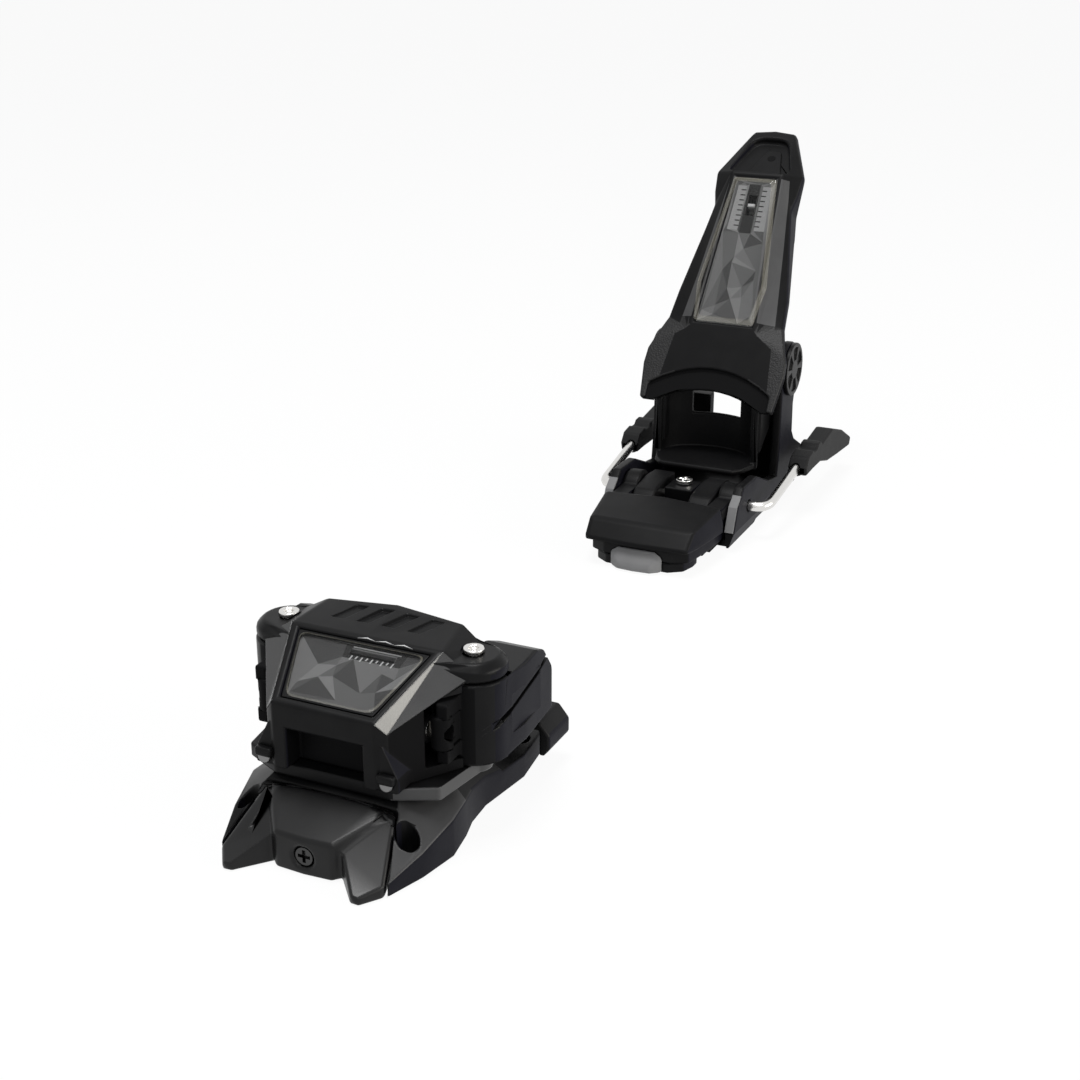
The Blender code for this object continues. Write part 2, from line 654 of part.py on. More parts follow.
def cut_toe_housing(shell):
    """Openings of the toe housing: wings, crank pockets, spring bore, arch, window, pin holes."""
    out = 60 * MM
    low = HOUSING_FLOOR - 1 * MM
    half_finger = FINGER_HEIGHT / 2 + CLAW + 1 * MM
    for side in (1, -1):
        pivot = (side * WING_PIVOT_X, 0)
        wing_side = side_span(side, WING_PIVOT_X - WING_HUB_R + 1.7 * MM, out)
        pocket = side_span(side, GUIDE_OUT, out)
        cut(shell,
            disc("XY", pivot, WING_HUB_R + RUN, low, EAR_Z0, 32),
            box(wing_side, (-2 * MM, HOUSING_BACK + 4 * MM), (low, EAR_Z0)),
            box(pocket, (BARREL_Y - 5.2 * MM, -4 * MM),
                (BARREL_HEIGHT - half_finger, BARREL_HEIGHT + half_finger)),
            disc("XY", pivot, WING_PIN_R + GAP, low, out * 2, 16),
            disc("XY", pivot, WING_PIN_HEAD_R + 2 * GAP, EAR_Z1, out * 2, 20),
            disc("XZ", (side * (FOOT_OUT - 4 * MM), HOUSING_FLOOR + 3 * MM), RIVET_R * 0.6 + GAP,
                 HOUSING_FRONT - 1 * MM, HOUSING_FRONT + 5 * MM, 12))
    bore_end = PLUNGER_BODY_END + GAP
    slot_low = POINTER_X - PLUNGER_TRAVEL - TOE_SCALE_TRAVEL - 2 * MM
    slot_high = POINTER_X + TOE_SCALE_TRAVEL + 1.5 * MM
    cut(shell,
        disc("YZ", (BARREL_Y, BARREL_HEIGHT), PLUNGER_R + RUN, -bore_end, bore_end),
        disc("YZ", (BARREL_Y, BARREL_HEIGHT), PLUNGER_PIN_R + RUN, -out, out, 20),
        box((-ARCH_HALF, ARCH_HALF), (HOUSING_FRONT - 2 * MM, BARREL_Y - PLUNGER_R - 3 * MM),
            (low, ARCH_TOP)),
        tilted(prism(trapezoid(0, TOE_WINDOW_LENGTH, TOE_WINDOW_HALF, 0),
                     -WINDOW_POCKET, 10 * MM), toe_window_frame()),
        box((slot_low, slot_high), toe_pointer_span(1 * MM), (BARREL_HEIGHT, EAR_Z1)))


def toe_pointer_span(margin):
    middle = BARREL_Y + 3.6 * MM
    return (middle - 1.5 * MM - margin, middle + 1.5 * MM + margin)


def toe_window_plate(name, material, low, high):
    outline = trapezoid(0, TOE_WINDOW_LENGTH, TOE_WINDOW_HALF, GAP)
    return make_object(name, tilted(prism(outline, low, high), toe_window_frame()), material)


def toe_window(mats):
    return toe_window_plate("toe_window", mats["clear"], -LENS_THICKNESS, 0.0)


def toe_scale_plate(mats):
    top = -LENS_THICKNESS - GAP
    plate = toe_window_plate("toe_scale_plate", mats["print"], top - SCALE_THICKNESS, top)
    slot_low = POINTER_X - PLUNGER_TRAVEL - TOE_SCALE_TRAVEL - 2 * MM
    slot_high = POINTER_X + TOE_SCALE_TRAVEL + 1.5 * MM
    return cut(plate, box((slot_low, slot_high), toe_pointer_span(1 * MM), (40 * MM, 80 * MM)))


def toe_wing(side, mats):
    """One jaw: hub on its pin, arm along the boot toe, crank finger on the spring plunger."""
    name = "wing_right" if side > 0 else "wing_left"
    x = WING_PIVOT_X
    hub = disc("XY", (side * x, 0), WING_HUB_R, WING_Z0, WING_Z1, 32)
    wing = make_object(name, hub, mats["black"])
    tip = WING_REACH
    arm = ((x + WING_HUB_R - 0.2 * MM, -1 * MM), (x + 12.4 * MM, 13 * MM),
           (x + 10.2 * MM, tip - 8 * MM), (x + 5.6 * MM, tip - 0.5 * MM), (x - 0.5 * MM, tip),
           (x - 4.5 * MM, tip - 6.5 * MM), (x - 7.5 * MM, 24 * MM), (x - 9.6 * MM, 10 * MM),
           (x - 9.6 * MM, 4 * MM))
    arm = [(side * a, b) for a, b in arm]
    join(wing, prism(arm, WING_Z0 + 0.2 * MM, WING_Z1 - 0.2 * MM))
    crown = ((tip - 26 * MM, WING_Z1 + 1 * MM), (tip - 16 * MM, WING_Z1 - 3 * MM),
             (tip - 6 * MM, WING_Z0 + 14 * MM), (tip + 1.5 * MM, WING_Z0 + 5.5 * MM),
             (tip + 6 * MM, WING_Z1 + 1 * MM))
    heel = ((tip - 2.5 * MM, WING_Z0 - 1 * MM), (tip + 2 * MM, WING_Z0 + 7 * MM),
            (tip + 6 * MM, WING_Z0 + 7 * MM), (tip + 6 * MM, WING_Z0 - 1 * MM))
    across = side_span(side, 0.0, x + 2 * WING_HUB_R)
    pocket = side_span(side, x + 9.5 * MM, x + 2 * WING_HUB_R)
    cut(wing, prism(crown, across[0], across[1], "YZ"), prism(heel, across[0], across[1], "YZ"),
        box(pocket, (4 * MM, 25 * MM), (WING_Z0 + 7 * MM, WING_Z1 - 8 * MM)))
    low = BARREL_HEIGHT - FINGER_HEIGHT / 2
    high = BARREL_HEIGHT + FINGER_HEIGHT / 2
    web = side_span(side, FINGER_X - 1.6 * MM, FINGER_X + FINGER_R - 0.6 * MM)
    claw = side_span(side, FINGER_X - 1.0 * MM, FINGER_X + FINGER_R - 0.2 * MM)
    reach = (BARREL_Y - 2.6 * MM, -WING_HUB_R * 0.6)
    join(wing, box(web, (BARREL_Y, -WING_HUB_R * 0.6), (low + 1 * MM, high - 1 * MM)),
         disc("XY", (side * FINGER_X, BARREL_Y), FINGER_R, low, high, 20),
         box(claw, reach, (low - CLAW, low + 0.5 * MM)), box(claw, reach, (high - 0.5 * MM, high + CLAW)))
    key_hole = side_span(side, FINGER_X - 2 * FINGER_R, FINGER_X + 2 * FINGER_R)
    cut(wing, disc("XY", (side * x, 0), WING_PIN_R + GAP, 0, 2 * WING_Z1, 20),
        disc("YZ", (BARREL_Y, BARREL_HEIGHT), TENSION_HEAD_R, key_hole[0], key_hole[1], 12))
    return wing


def wing_pin(side, mats):
    name = "wing_pin_right" if side > 0 else "wing_pin_left"
    centre = (side * WING_PIVOT_X, 0)
    head = EAR_Z1 + GAP
    pin = make_object(name, disc("XY", centre, WING_PIN_R, DECK_TOP - DECK_THICKNESS, head + 0.5 * MM, 20),
                      mats["steel"])
    join(pin, disc("XY", centre, WING_PIN_HEAD_R, head, head + WING_PIN_HEAD, 20))
    socket = disc("XY", centre, WING_PIN_HEAD_R * 0.5, head + 0.5 * MM, head + 2 * WING_PIN_HEAD, 6)
    return cut(pin, socket)


def foot_rivet(side, mats):
    name = "foot_rivet_right" if side > 0 else "foot_rivet_left"
    centre = (side * (FOOT_OUT - 4 * MM), HOUSING_FLOOR + 3 * MM)
    face = HOUSING_FRONT + 0.8 * MM
    rivet = make_object(name, disc("XZ", centre, RIVET_R, face - GAP - 1.2 * MM, face - GAP, 16),
                        mats["steel"])
    return join(rivet, disc("XZ", centre, RIVET_R * 0.6, face - 1 * MM, face + 3.5 * MM, 12))


def toe_plunger(side, mats):
    """Cup that holds one end of the spring, with a pin out through the housing's side wall."""
    name = "toe_plunger_right" if side > 0 else "toe_plunger_left"
    mouth = PLUNGER_MOUTH_RIGHT if side > 0 else PLUNGER_MOUTH_LEFT
    centre = (BARREL_Y, BARREL_HEIGHT)
    span = side_span(side, mouth, PLUNGER_BODY_END)
    pin = side_span(side, PLUNGER_BODY_END - 1 * MM, PLUNGER_END)
    bore = side_span(side, mouth - 1 * MM, PLUNGER_BODY_END - 2.5 * MM)
    plunger = make_object(name, disc("YZ", centre, PLUNGER_R, span[0], span[1]), mats["black"])
    join(plunger, disc("YZ", centre, PLUNGER_PIN_R, pin[0], pin[1], 20))
    cut(plunger, disc("YZ", centre, PLUNGER_BORE_R, bore[0], bore[1]))
    if side > 0:
        cut(plunger,
            disc("YZ", centre, TENSION_SCREW_R + GAP, mouth, PLUNGER_END + 1 * MM, 16),
            disc("YZ", centre, TENSION_HEAD_R + GAP, PLUNGER_END - TENSION_HEAD - GAP,
                 PLUNGER_END + 1 * MM, 16),
            box((mouth - 1 * MM, POINTER_X + TOE_SCALE_TRAVEL + 2 * MM), toe_pointer_span(0.6 * MM),
                (BARREL_HEIGHT, BARREL_HEIGHT + 2 * PLUNGER_R)))
    return plunger


def toe_tension_screw(mats):
    centre = (BARREL_Y, BARREL_HEIGHT)
    head = PLUNGER_END - TENSION_HEAD
    screw = make_object("toe_tension_screw",
                        disc("YZ", centre, TENSION_SCREW_R, TENSION_END, head + 0.5 * MM, 16),
                        mats["steel"])
    join(screw, disc("YZ", centre, TENSION_HEAD_R, head, PLUNGER_END - GAP, 16))
    slot = box((PLUNGER_END - 1.4 * MM, PLUNGER_END + 1 * MM), (BARREL_Y - 0.5 * MM, BARREL_Y + 0.5 * MM),
               (BARREL_HEIGHT - 2 * TENSION_HEAD_R, BARREL_HEIGHT + 2 * TENSION_HEAD_R))
    return cut(screw, slot)


def toe_indicator(mats):
    """Spring nut with the pointer that shows the setting under the window."""
    centre = (BARREL_Y, BARREL_HEIGHT)
    span = (POINTER_X - NUT_THICKNESS / 2, POINTER_X + NUT_THICKNESS / 2)
    nut = make_object("toe_indicator", disc("YZ", centre, PLUNGER_BORE_R - GAP, span[0], span[1]),
                      mats["white"])
    stem_y = toe_pointer_span(0.0)
    drop = (LENS_THICKNESS + 2 * GAP) / math.cos(TOE_WINDOW_TILT)
    top = TOE_WINDOW_Z + (stem_y[0] - TOE_WINDOW_Y) * math.tan(TOE_WINDOW_TILT) - drop
    half = POINTER_WIDTH / 2
    join(nut, box((POINTER_X - half, POINTER_X + half), stem_y, (BARREL_HEIGHT + 4 * MM, top)))
    return cut(nut, disc("YZ", centre, TENSION_SCREW_R + GAP, span[0] - 1 * MM, span[1] + 1 * MM, 16))


def spring(name, radius, wire_r, turns, frame, length, material):
    points = coil_points(radius, length, turns, wire_r)
    print_self_gap(name, points, wire_r)
    return tube(name, [frame @ point for point in points], wire_r, material)


def toe_spring(mats):
    seat = -(PLUNGER_BODY_END - 2.5 * MM - GAP)
    length = POINTER_X - NUT_THICKNESS / 2 - GAP - seat
    frame = along((seat, BARREL_Y, BARREL_HEIGHT), (1, 0, 0), (0, 0, 1))
    return spring("toe_spring", TOE_SPRING_R, TOE_SPRING_WIRE_R, TOE_SPRING_TURNS, frame, length,
                  mats["spring"])


def wedge_top(y):
    return WEDGE_TOP - WEDGE_SLOPE * (y - WEDGE_FRONT)


def afd_wedge(mats):
    back = WEDGE_FRONT + WEDGE_LENGTH
    outline = ((WEDGE_FRONT, BASE_FLOOR + GAP), (back, BASE_FLOOR + GAP), (back, wedge_top(back)),
               (WEDGE_FRONT, WEDGE_TOP))
    wedge = make_object("afd_wedge", prism(outline, -WEDGE_HALF, WEDGE_HALF, "YZ"), mats["grey"])
    bore = disc("XZ", (0, HEIGHT_SCREW_Z), HEIGHT_SCREW_R + GAP, WEDGE_FRONT - 1 * MM,
                WEDGE_FRONT + WEDGE_TRAVEL + 3 * MM, 16)
    return cut(wedge, bore)


def afd_carrier(mats):
    """Block on the wedge, guided between the base's rails, that carries the slider."""
    back = CARRIER_FRONT + CARRIER_LENGTH
    low = wedge_top(WEDGE_FRONT + WEDGE_LENGTH) + GAP
    outline = ((CARRIER_FRONT, wedge_top(CARRIER_FRONT) + GAP),
               (WEDGE_FRONT + WEDGE_LENGTH, low), (back, low), (back, CARRIER_TOP),
               (CARRIER_FRONT, CARRIER_TOP))
    return make_object("afd_carrier", prism(outline, -CARRIER_HALF, CARRIER_HALF, "YZ"), mats["black"])


def afd_slider(mats):
    """Low-friction boot rest that slides across the ski, its ends turned down."""
    low = CARRIER_TOP + GAP
    high = low + SLIDER_THICKNESS
    lug = SLIDER_HALF - SLIDER_LUG
    drop = low - SLIDER_LUG_DROP
    half = [(0, low), (lug, low), (lug, drop), (SLIDER_HALF - 2.5 * MM, drop),
            (SLIDER_HALF, drop + 3 * MM), (SLIDER_HALF, high - 5 * MM), (SLIDER_HALF - 4 * MM, high),
            (0, high)]
    return make_object("afd_slider", prism(mirrored(half), SLIDER_FRONT, SLIDER_FRONT + SLIDER_LENGTH, "XZ"),
                       mats["black"])


def afd_height_screw(mats):
    centre = (0, HEIGHT_SCREW_Z)
    front = -51.0 * MM
    back = front + HEIGHT_HEAD
    screw = make_object("afd_height_screw", disc("XZ", centre, HEIGHT_HEAD_R, front, back, 16),
                        mats["steel"])
    end = WEDGE_FRONT + WEDGE_TRAVEL + 2 * MM
    join(screw, disc("XZ", centre, HEIGHT_SCREW_R, back - 0.5 * MM, end, 16))
    half = 0.6 * MM
    reach = HEIGHT_HEAD_R * 0.7
    for slot in (((-half, half), (-reach, reach)), ((-reach, reach), (-half, half))):
        z = (HEIGHT_SCREW_Z + slot[1][0], HEIGHT_SCREW_Z + slot[1][1])
        cut(screw, box(slot[0], (front - 1 * MM, front + 1.6 * MM), z))
    return screw


# Heel piece


def face_frame():
    """Frame of the heel housing's front face: X across, Y up the face, Z out of it."""
    return Matrix.Translation((0, JAW_Y, JAW_Z)) @ Matrix.Rotation(FACE_TILT, 4, "X")


def heel_track(mats):
    """Rail on the ski, a T in section, with rack slots along its middle."""
    profile = [(0, 0), (TRACK_FOOT_HALF, 0), (TRACK_FOOT_HALF, TRACK_LIP), (TRACK_HALF, TRACK_LIP),
               (TRACK_HALF, TRACK_TOP), (0, TRACK_TOP)]
    track = make_object("heel_track", prism(mirrored(profile), TRACK_FRONT, TRACK_BACK, "XZ"),
                        mats["black"])
    count = WORM_TURNS + 2 * math.ceil(CARRIAGE_TRAVEL / WORM_PITCH) + 1
    first = rack_start() - math.ceil(CARRIAGE_TRAVEL / WORM_PITCH) * WORM_PITCH
    openings = []
    for i in range(count):
        y = first + i * WORM_PITCH
        if y + RACK_SLOT < TRACK_BACK:
            openings.append(box((-RACK_HALF, RACK_HALF), (y - RACK_SLOT / 2, y + RACK_SLOT / 2),
                                (TRACK_TOP - RACK_DEPTH, TRACK_TOP + 1 * MM)))
    for x in (HEEL_HOLE_X, -HEEL_HOLE_X):
        for y in (TRACK_FRONT + HEEL_HOLE_FRONT, TRACK_BACK - HEEL_HOLE_BACK):
            openings.append(screw_hole(x, y, TRACK_LIP, TRACK_TOP + 1 * MM))
    return cut(track, merged(openings))


def screw_hole(x, y, seat, high, sides=16):
    """Hole for a mounting screw, wider above the seat of its head."""
    half_step = 180 / sides
    hole = arc((x, y), MOUNT_HOLE_R, half_step, 360 - half_step, sides - 1)
    head = arc((x, y), MOUNT_HEAD_R, half_step, 360 - half_step, sides - 1)
    return loft(((hole, -1 * MM), (hole, seat), (head, seat), (head, high)))


def rack_start():
    """Place of the slot that the worm's first half turn dips into."""
    return WORM_FRONT + 2.5 * MM + WORM_PITCH / 2


def cheek_outline():
    """Side view of one carriage cheek: shoulder over the brake wire, post, round head, tail."""
    py, pz = PIVOT_Y, PIVOT_Z
    front, back = CARRIAGE_FRONT, CARRIAGE_BACK
    low = 0.6 * MM
    head = arc((py, pz), TOWER_HEAD_R, 205, -30, 16)
    return ([(front + 2 * MM, low), (front - 1 * MM, 9 * MM), (front + 4 * MM, 21 * MM),
             (front + 12 * MM, BRAKE_Z + 11.6 * MM), (BRAKE_Y + 11 * MM, BRAKE_Z + 11.2 * MM),
             (py - 36 * MM, 24 * MM), (py - 25 * MM, 19.4 * MM), (py - 14 * MM, 18 * MM),
             (py - 12 * MM, 34 * MM)] + head
            + [(py + 7.5 * MM, pz - 22 * MM), (py + 8 * MM, pz - 33 * MM), (py + 13 * MM, 30 * MM),
               (back, 20 * MM), (back + 1 * MM, 10 * MM), (back - 1 * MM, low)])


def cheek_chamfers(side):
    """Wedges taken off the outer foot of a cheek, more from its tail."""
    tools = []
    for foot, rise, start in ((CHEEK_FOOT_OUT, 10 * MM, CARRIAGE_FRONT - 20 * MM),
                              (TAIL_FOOT_OUT, 12 * MM, BRAKE_Y + 20 * MM)):
        outside = CHEEK_OUT + 9 * MM
        outline = ((foot, 0), (CHEEK_OUT + GAP, rise), (outside, rise), (outside, 0))
        outline = [(side * x, z) for x, z in outline]
        tools.append(prism(outline, start, CARRIAGE_BACK + 20 * MM, "XZ"))
    return tools


def heel_carriage(mats):
    """Base that slides on the track and carries the two towers, the worm and the brake."""
    floor_low = TRACK_TOP + RUN
    floor_half = CHEEK_IN + 1 * MM
    carriage = make_object("heel_carriage",
                           box((-floor_half, floor_half), (FLOOR_FRONT, CARRIAGE_BACK - 0.5 * MM),
                               (floor_low, FLOOR_TOP)), mats["black"])
    web_in = TRACK_HALF + RUN
    lip_top = TRACK_LIP - RUN
    low = 0.6 * MM
    long_span = (CARRIAGE_FRONT + 4 * MM, CARRIAGE_BACK - 2 * MM)
    for side in (1, -1):
        web = side_span(side, web_in, floor_half)
        lip = side_span(side, TRACK_FOOT_HALF + RUN, floor_half - 0.2 * MM)
        cheek = side_span(side, CHEEK_IN, CHEEK_OUT)
        join(carriage,
             prism(cheek_outline(), cheek[0], cheek[1], "YZ"),
             box(web, (FLOOR_FRONT + 1 * MM, long_span[1]), (low + 0.2 * MM, FLOOR_TOP - 0.5 * MM)),
             box(web, (long_span[0], FLOOR_FRONT + 2 * MM), (low + 0.2 * MM, TRACK_TOP)),
             box(lip, long_span, (low, lip_top)))
        gusset = side_span(side, GUSSET_IN, floor_half)
        join(carriage, box(gusset, (PIVOT_Y + 2.5 * MM, PIVOT_Y + 9 * MM), (FLOOR_TOP - 1 * MM, GUSSET_TOP)))
        cut(carriage, *cheek_chamfers(side))
    bed_half = WORM_HEAD_R + 3.5 * MM
    join(carriage, box((-bed_half, bed_half), (WORM_FRONT - 5 * MM, CARRIAGE_BACK),
                       (floor_low + 0.2 * MM, WORM_Z + WORM_HEAD_R + 3.5 * MM)))
    worm_r = WORM_CORE_R + 2 * WORM_THREAD_R
    pocket_end = CARRIAGE_BACK - 4 * MM
    cut(carriage,
        disc("XZ", (0, WORM_Z), worm_r + RUN, WORM_FRONT - GAP, pocket_end, 20),
        box((-worm_r - RUN, worm_r + RUN), (WORM_FRONT - GAP, pocket_end), (0, WORM_Z)),
        disc("XZ", (0, WORM_Z), WORM_CORE_R * 0.7 + GAP, pocket_end - 1 * MM, CARRIAGE_BACK + 5 * MM, 16))
    out = CHEEK_OUT + 5 * MM
    cut(carriage,
        disc("YZ", (PIVOT_Y, PIVOT_Z), AXLE_R + GAP, -out, out, 20),
        disc("YZ", (BRAKE_Y, BRAKE_Z), WIRE_R + GAP, -out, out, 16))
    return carriage


def length_screw(mats):
    """Worm in the carriage whose thread runs in the track's rack slots."""
    end = CARRIAGE_BACK - 4 * MM - GAP
    core = make_object("length_screw", disc("XZ", (0, WORM_Z), WORM_CORE_R, WORM_FRONT, end, 20),
                       mats["steel"])
    points = []
    steps = 10
    for i in range(WORM_TURNS * steps + 1):
        turn = i / steps
        angle = 2 * math.pi * turn
        y = rack_start() - WORM_PITCH / 2 + WORM_PITCH * turn
        reach = WORM_CORE_R + 0.6 * WORM_THREAD_R
        points.append((reach * math.sin(angle), y, WORM_Z + reach * math.cos(angle)))
    thread = tube("thread", points, WORM_THREAD_R, mats["steel"], 0)
    graph = bpy.context.evaluated_depsgraph_get()
    bm = bmesh.new()
    mesh = bpy.data.meshes.new_from_object(thread.evaluated_get(graph))
    bm.from_mesh(mesh)
    bpy.data.meshes.remove(mesh)
    bpy.data.objects.remove(thread)
    head = CARRIAGE_BACK + GAP
    join(core, bm,
         disc("XZ", (0, WORM_Z), WORM_CORE_R * 0.7, end - 1 * MM, head + 1 * MM, 16),
         disc("XZ", (0, WORM_Z), WORM_HEAD_R, head, head + WORM_HEAD, 20))
    slot = box((-WORM_HEAD_R, WORM_HEAD_R), (head + WORM_HEAD - 1.5 * MM, head + 2 * WORM_HEAD),
               (WORM_Z - 0.7 * MM, WORM_Z + 0.7 * MM))
    return cut(core, slot)


def heel_shell():
    """Front plate of the heel housing and its lever, as facets in the face's own frame."""
    strip = -5.0 * MM
    back = -9.5 * MM
    thin = -JAW_PLATE
    lower, upper = HEEL_WINDOW_HALF
    sill = HEEL_WINDOW_V - 4 * MM
    head = HEEL_WINDOW_V + HEEL_WINDOW_LENGTH + 2.4 * MM
    points = {
        "jaw_mid": (0, 0, 0), "jaw": (33.9 * MM, 0, 0),
        "flare_1": (36.0 * MM, 18.0 * MM, 0), "flare_2": (35.5 * MM, 25.5 * MM, 0),
        "neck_1": (32.6 * MM, 34.6 * MM, -1.2 * MM), "neck_2": (29.6 * MM, 43.7 * MM, -3.6 * MM),
        "neck_3": (28.2 * MM, 58.6 * MM, strip), "waist_1": (22.0 * MM, 92.7 * MM, strip),
        "waist_2": (20.0 * MM, 104.8 * MM, strip), "grip_1": (21.6 * MM, 112.0 * MM, strip),
        "grip_2": (22.6 * MM, 122.5 * MM, strip),
        "sill_mid": (0, sill, 0), "sill": (lower + 2.7 * MM, sill, 0),
        "head_mid": (0, head, 0), "head": (upper + 2.7 * MM, head, 0),
        "tip_mid": (0, 150.5 * MM, -13.2 * MM), "tip": (10.8 * MM, 149.4 * MM, -13.2 * MM),
    }
    faces = (
        ("jaw_mid", "jaw", "flare_1", "flare_2", "sill", "sill_mid"),
        ("flare_2", "neck_1", "sill"), ("neck_1", "neck_2", "sill"), ("neck_2", "neck_3", "sill"),
        ("sill", "neck_3", "waist_1", "head"), ("sill_mid", "sill", "head", "head_mid"),
        ("waist_1", "waist_2", "head"), ("waist_2", "grip_1", "head"), ("grip_1", "grip_2", "head"),
        ("head_mid", "head", "tip", "tip_mid"), ("head", "grip_2", "tip"),
    )
    floor = {"all": back, "jaw_mid": thin, "jaw": thin, "flare_1": thin, "flare_2": thin,
             "neck_1": thin - 0.2 * MM, "neck_2": back + 1.5 * MM, "sill": thin - 0.2 * MM,
             "sill_mid": thin - 0.2 * MM, "neck_3": -10 * MM, "waist_1": -16 * MM,
             "waist_2": -17 * MM, "grip_1": -12 * MM, "grip_2": -9 * MM, "head": -12 * MM,
             "head_mid": -12 * MM, "tip": -19 * MM, "tip_mid": -19 * MM}
    return relief(points, faces, floor)


def heel_housing(mats):
    """Closing housing: jaw plate and lever in front, spring tube behind, hubs on the axle."""
    frame = face_frame()
    shell = make_object("heel_housing", tilted(heel_shell(), frame), mats["black"])
    chamfer = 5 * MM
    deep = -TUBE_DEPTH
    tube_section = ((-TUBE_HALF, -3.5 * MM), (TUBE_HALF, -3.5 * MM), (TUBE_HALF, deep + chamfer),
                    (TUBE_HALF - chamfer, deep), (chamfer - TUBE_HALF, deep), (-TUBE_HALF, deep + chamfer))
    hub_back = PIVOT_W + HUB_R * 0.3
    join(shell,
         tilted(prism(tube_section, TUBE_FOOT, TUBE_TOP, "XZ"), frame),
         tilted(box((-HUB_OUT, HUB_OUT), (PIVOT_V - HUB_R, PIVOT_V + HUB_R), (hub_back, -3 * MM)), frame),
         disc("YZ", (PIVOT_Y, PIVOT_Z), HUB_R, -HUB_OUT + 0.2 * MM, HUB_OUT - 0.2 * MM, 32))
    cut_heel_housing(shell, frame)
    return shell


def jaw_arch(half, top, side_height):
    """Outline of an arch rising from the jaw's lower edge."""
    steps = 10
    arch = [(half, -3 * MM)]
    for i in range(steps + 1):
        share = 1 - 2 * i / steps
        arch.append((half * share, top - (top - side_height) * share * share))
    arch.append((-half, -3 * MM))
    return arch


def cut_heel_housing(shell, frame):
    """Openings of the heel housing: arch, window, spring bore, cam space, axle and pointer slot."""
    recess = jaw_arch(JAW_ARCH_HALF, JAW_ARCH_TOP, JAW_ARCH_SIDE)
    mouth = jaw_arch(JAW_MOUTH_HALF, JAW_MOUTH_TOP, 0.5 * MM)
    out = CHEEK_OUT + 5 * MM
    bore_end = TUBE_TOP - 4 * MM
    slot = heel_pointer_span(1 * MM)
    cut(shell,
        tilted(prism(recess, -JAW_RECESS, 5 * MM), frame),
        tilted(prism(mouth, -JAW_PLATE - 1 * MM, 5 * MM), frame),
        tilted(prism(trapezoid(HEEL_WINDOW_V, HEEL_WINDOW_LENGTH, HEEL_WINDOW_HALF, 0),
                     -WINDOW_POCKET, 10 * MM), frame),
        tilted(disc("XZ", (0, PIVOT_W), HEEL_BORE_R, PIVOT_V, bore_end), frame),
        tilted(disc("XZ", (0, PIVOT_W), HEEL_SCREW_R + GAP, PIVOT_V, TUBE_TOP + 5 * MM, 16), frame),
        tilted(box((-2.4 * MM, 2.4 * MM), slot, (PIVOT_W, 5 * MM)), frame),
        disc("YZ", (PIVOT_Y, PIVOT_Z), CAM_CAVITY_R, -CAM_CAVITY_HALF, CAM_CAVITY_HALF, 32),
        disc("YZ", (PIVOT_Y, PIVOT_Z), AXLE_R + GAP, -out, out, 20))


def heel_pointer_span(margin):
    low = HEEL_NUT_V - HEEL_SCALE_TRAVEL - POINTER_WIDTH / 2 - margin
    high = HEEL_NUT_V + HEEL_SCALE_TRAVEL + POINTER_WIDTH / 2 + margin
    return (low, high)


def heel_window_plate(name, material, low, high):
    outline = trapezoid(HEEL_WINDOW_V, HEEL_WINDOW_LENGTH, HEEL_WINDOW_HALF, GAP)
    return make_object(name, tilted(prism(outline, low, high), face_frame()), material)


def heel_window(mats):
    return heel_window_plate("heel_window", mats["clear"], -LENS_THICKNESS, 0.0)


def heel_scale_plate(mats):
    top = -LENS_THICKNESS - GAP
    plate = heel_window_plate("heel_scale_plate", mats["print"], top - SCALE_THICKNESS, top)
    slot = box((-2.4 * MM, 2.4 * MM), heel_pointer_span(1 * MM), (-20 * MM, 20 * MM))
    return cut(plate, tilted(slot, face_frame()))


def heel_piston(mats):
    """Spring cup with a narrow round nose that rides on the cam."""
    frame = face_frame()
    tip = arc((PISTON_TIP_V + PISTON_NOSE_R, PIVOT_W), PISTON_NOSE_R, 225, 135, 6)
    body_v = PISTON_TIP_V + PISTON_NOSE
    flare = body_v + 0.5 * MM - tip[0][0]
    outline = tip + [(body_v + 0.5 * MM, tip[-1][1] + flare), (body_v + 0.5 * MM, tip[0][1] - flare)]
    piston = make_object("heel_piston", tilted(prism(outline, -CAM_HALF, CAM_HALF, "YZ"), frame),
                         mats["steel"])
    join(piston, tilted(disc("XZ", (0, PIVOT_W), PISTON_R, body_v, PISTON_TOP_V), frame))
    return cut(piston, tilted(disc("XZ", (0, PIVOT_W), PISTON_R - PISTON_WALL, body_v + PISTON_FLOOR,
                                   PISTON_TOP_V + 1 * MM), frame))


def heel_cam(mats):
    """Cam on the fixed axle: its radius grows evenly over the housing's opening angle."""
    start = FACE_TILT + math.radians(12)
    end = FACE_TILT - HOUSING_OPENING - math.radians(12)
    steps = 20
    outline = []
    for i in range(steps + 1):
        angle = start + (end - start) * i / steps
        share = min(max((FACE_TILT - angle) / HOUSING_OPENING, 0.0), 1.0)
        radius = CAM_R + CAM_RISE * share
        outline.append((PIVOT_Y + radius * math.cos(angle), PIVOT_Z + radius * math.sin(angle)))
    heel_r = AXLE_R + 2.5 * MM
    outline += arc((PIVOT_Y, PIVOT_Z), heel_r, math.degrees(end) - 30, math.degrees(start) - 330, 12)
    cam = make_object("heel_cam", prism(outline, -CAM_HALF, CAM_HALF, "YZ"), mats["steel"])
    return cut(cam, disc("YZ", (PIVOT_Y, PIVOT_Z), AXLE_R + GAP, -2 * CAM_HALF, 2 * CAM_HALF, 20))


def heel_axle(mats):
    return make_object("heel_axle", disc("YZ", (PIVOT_Y, PIVOT_Z), AXLE_R, -CHEEK_OUT, CHEEK_OUT, 20),
                       mats["steel"])


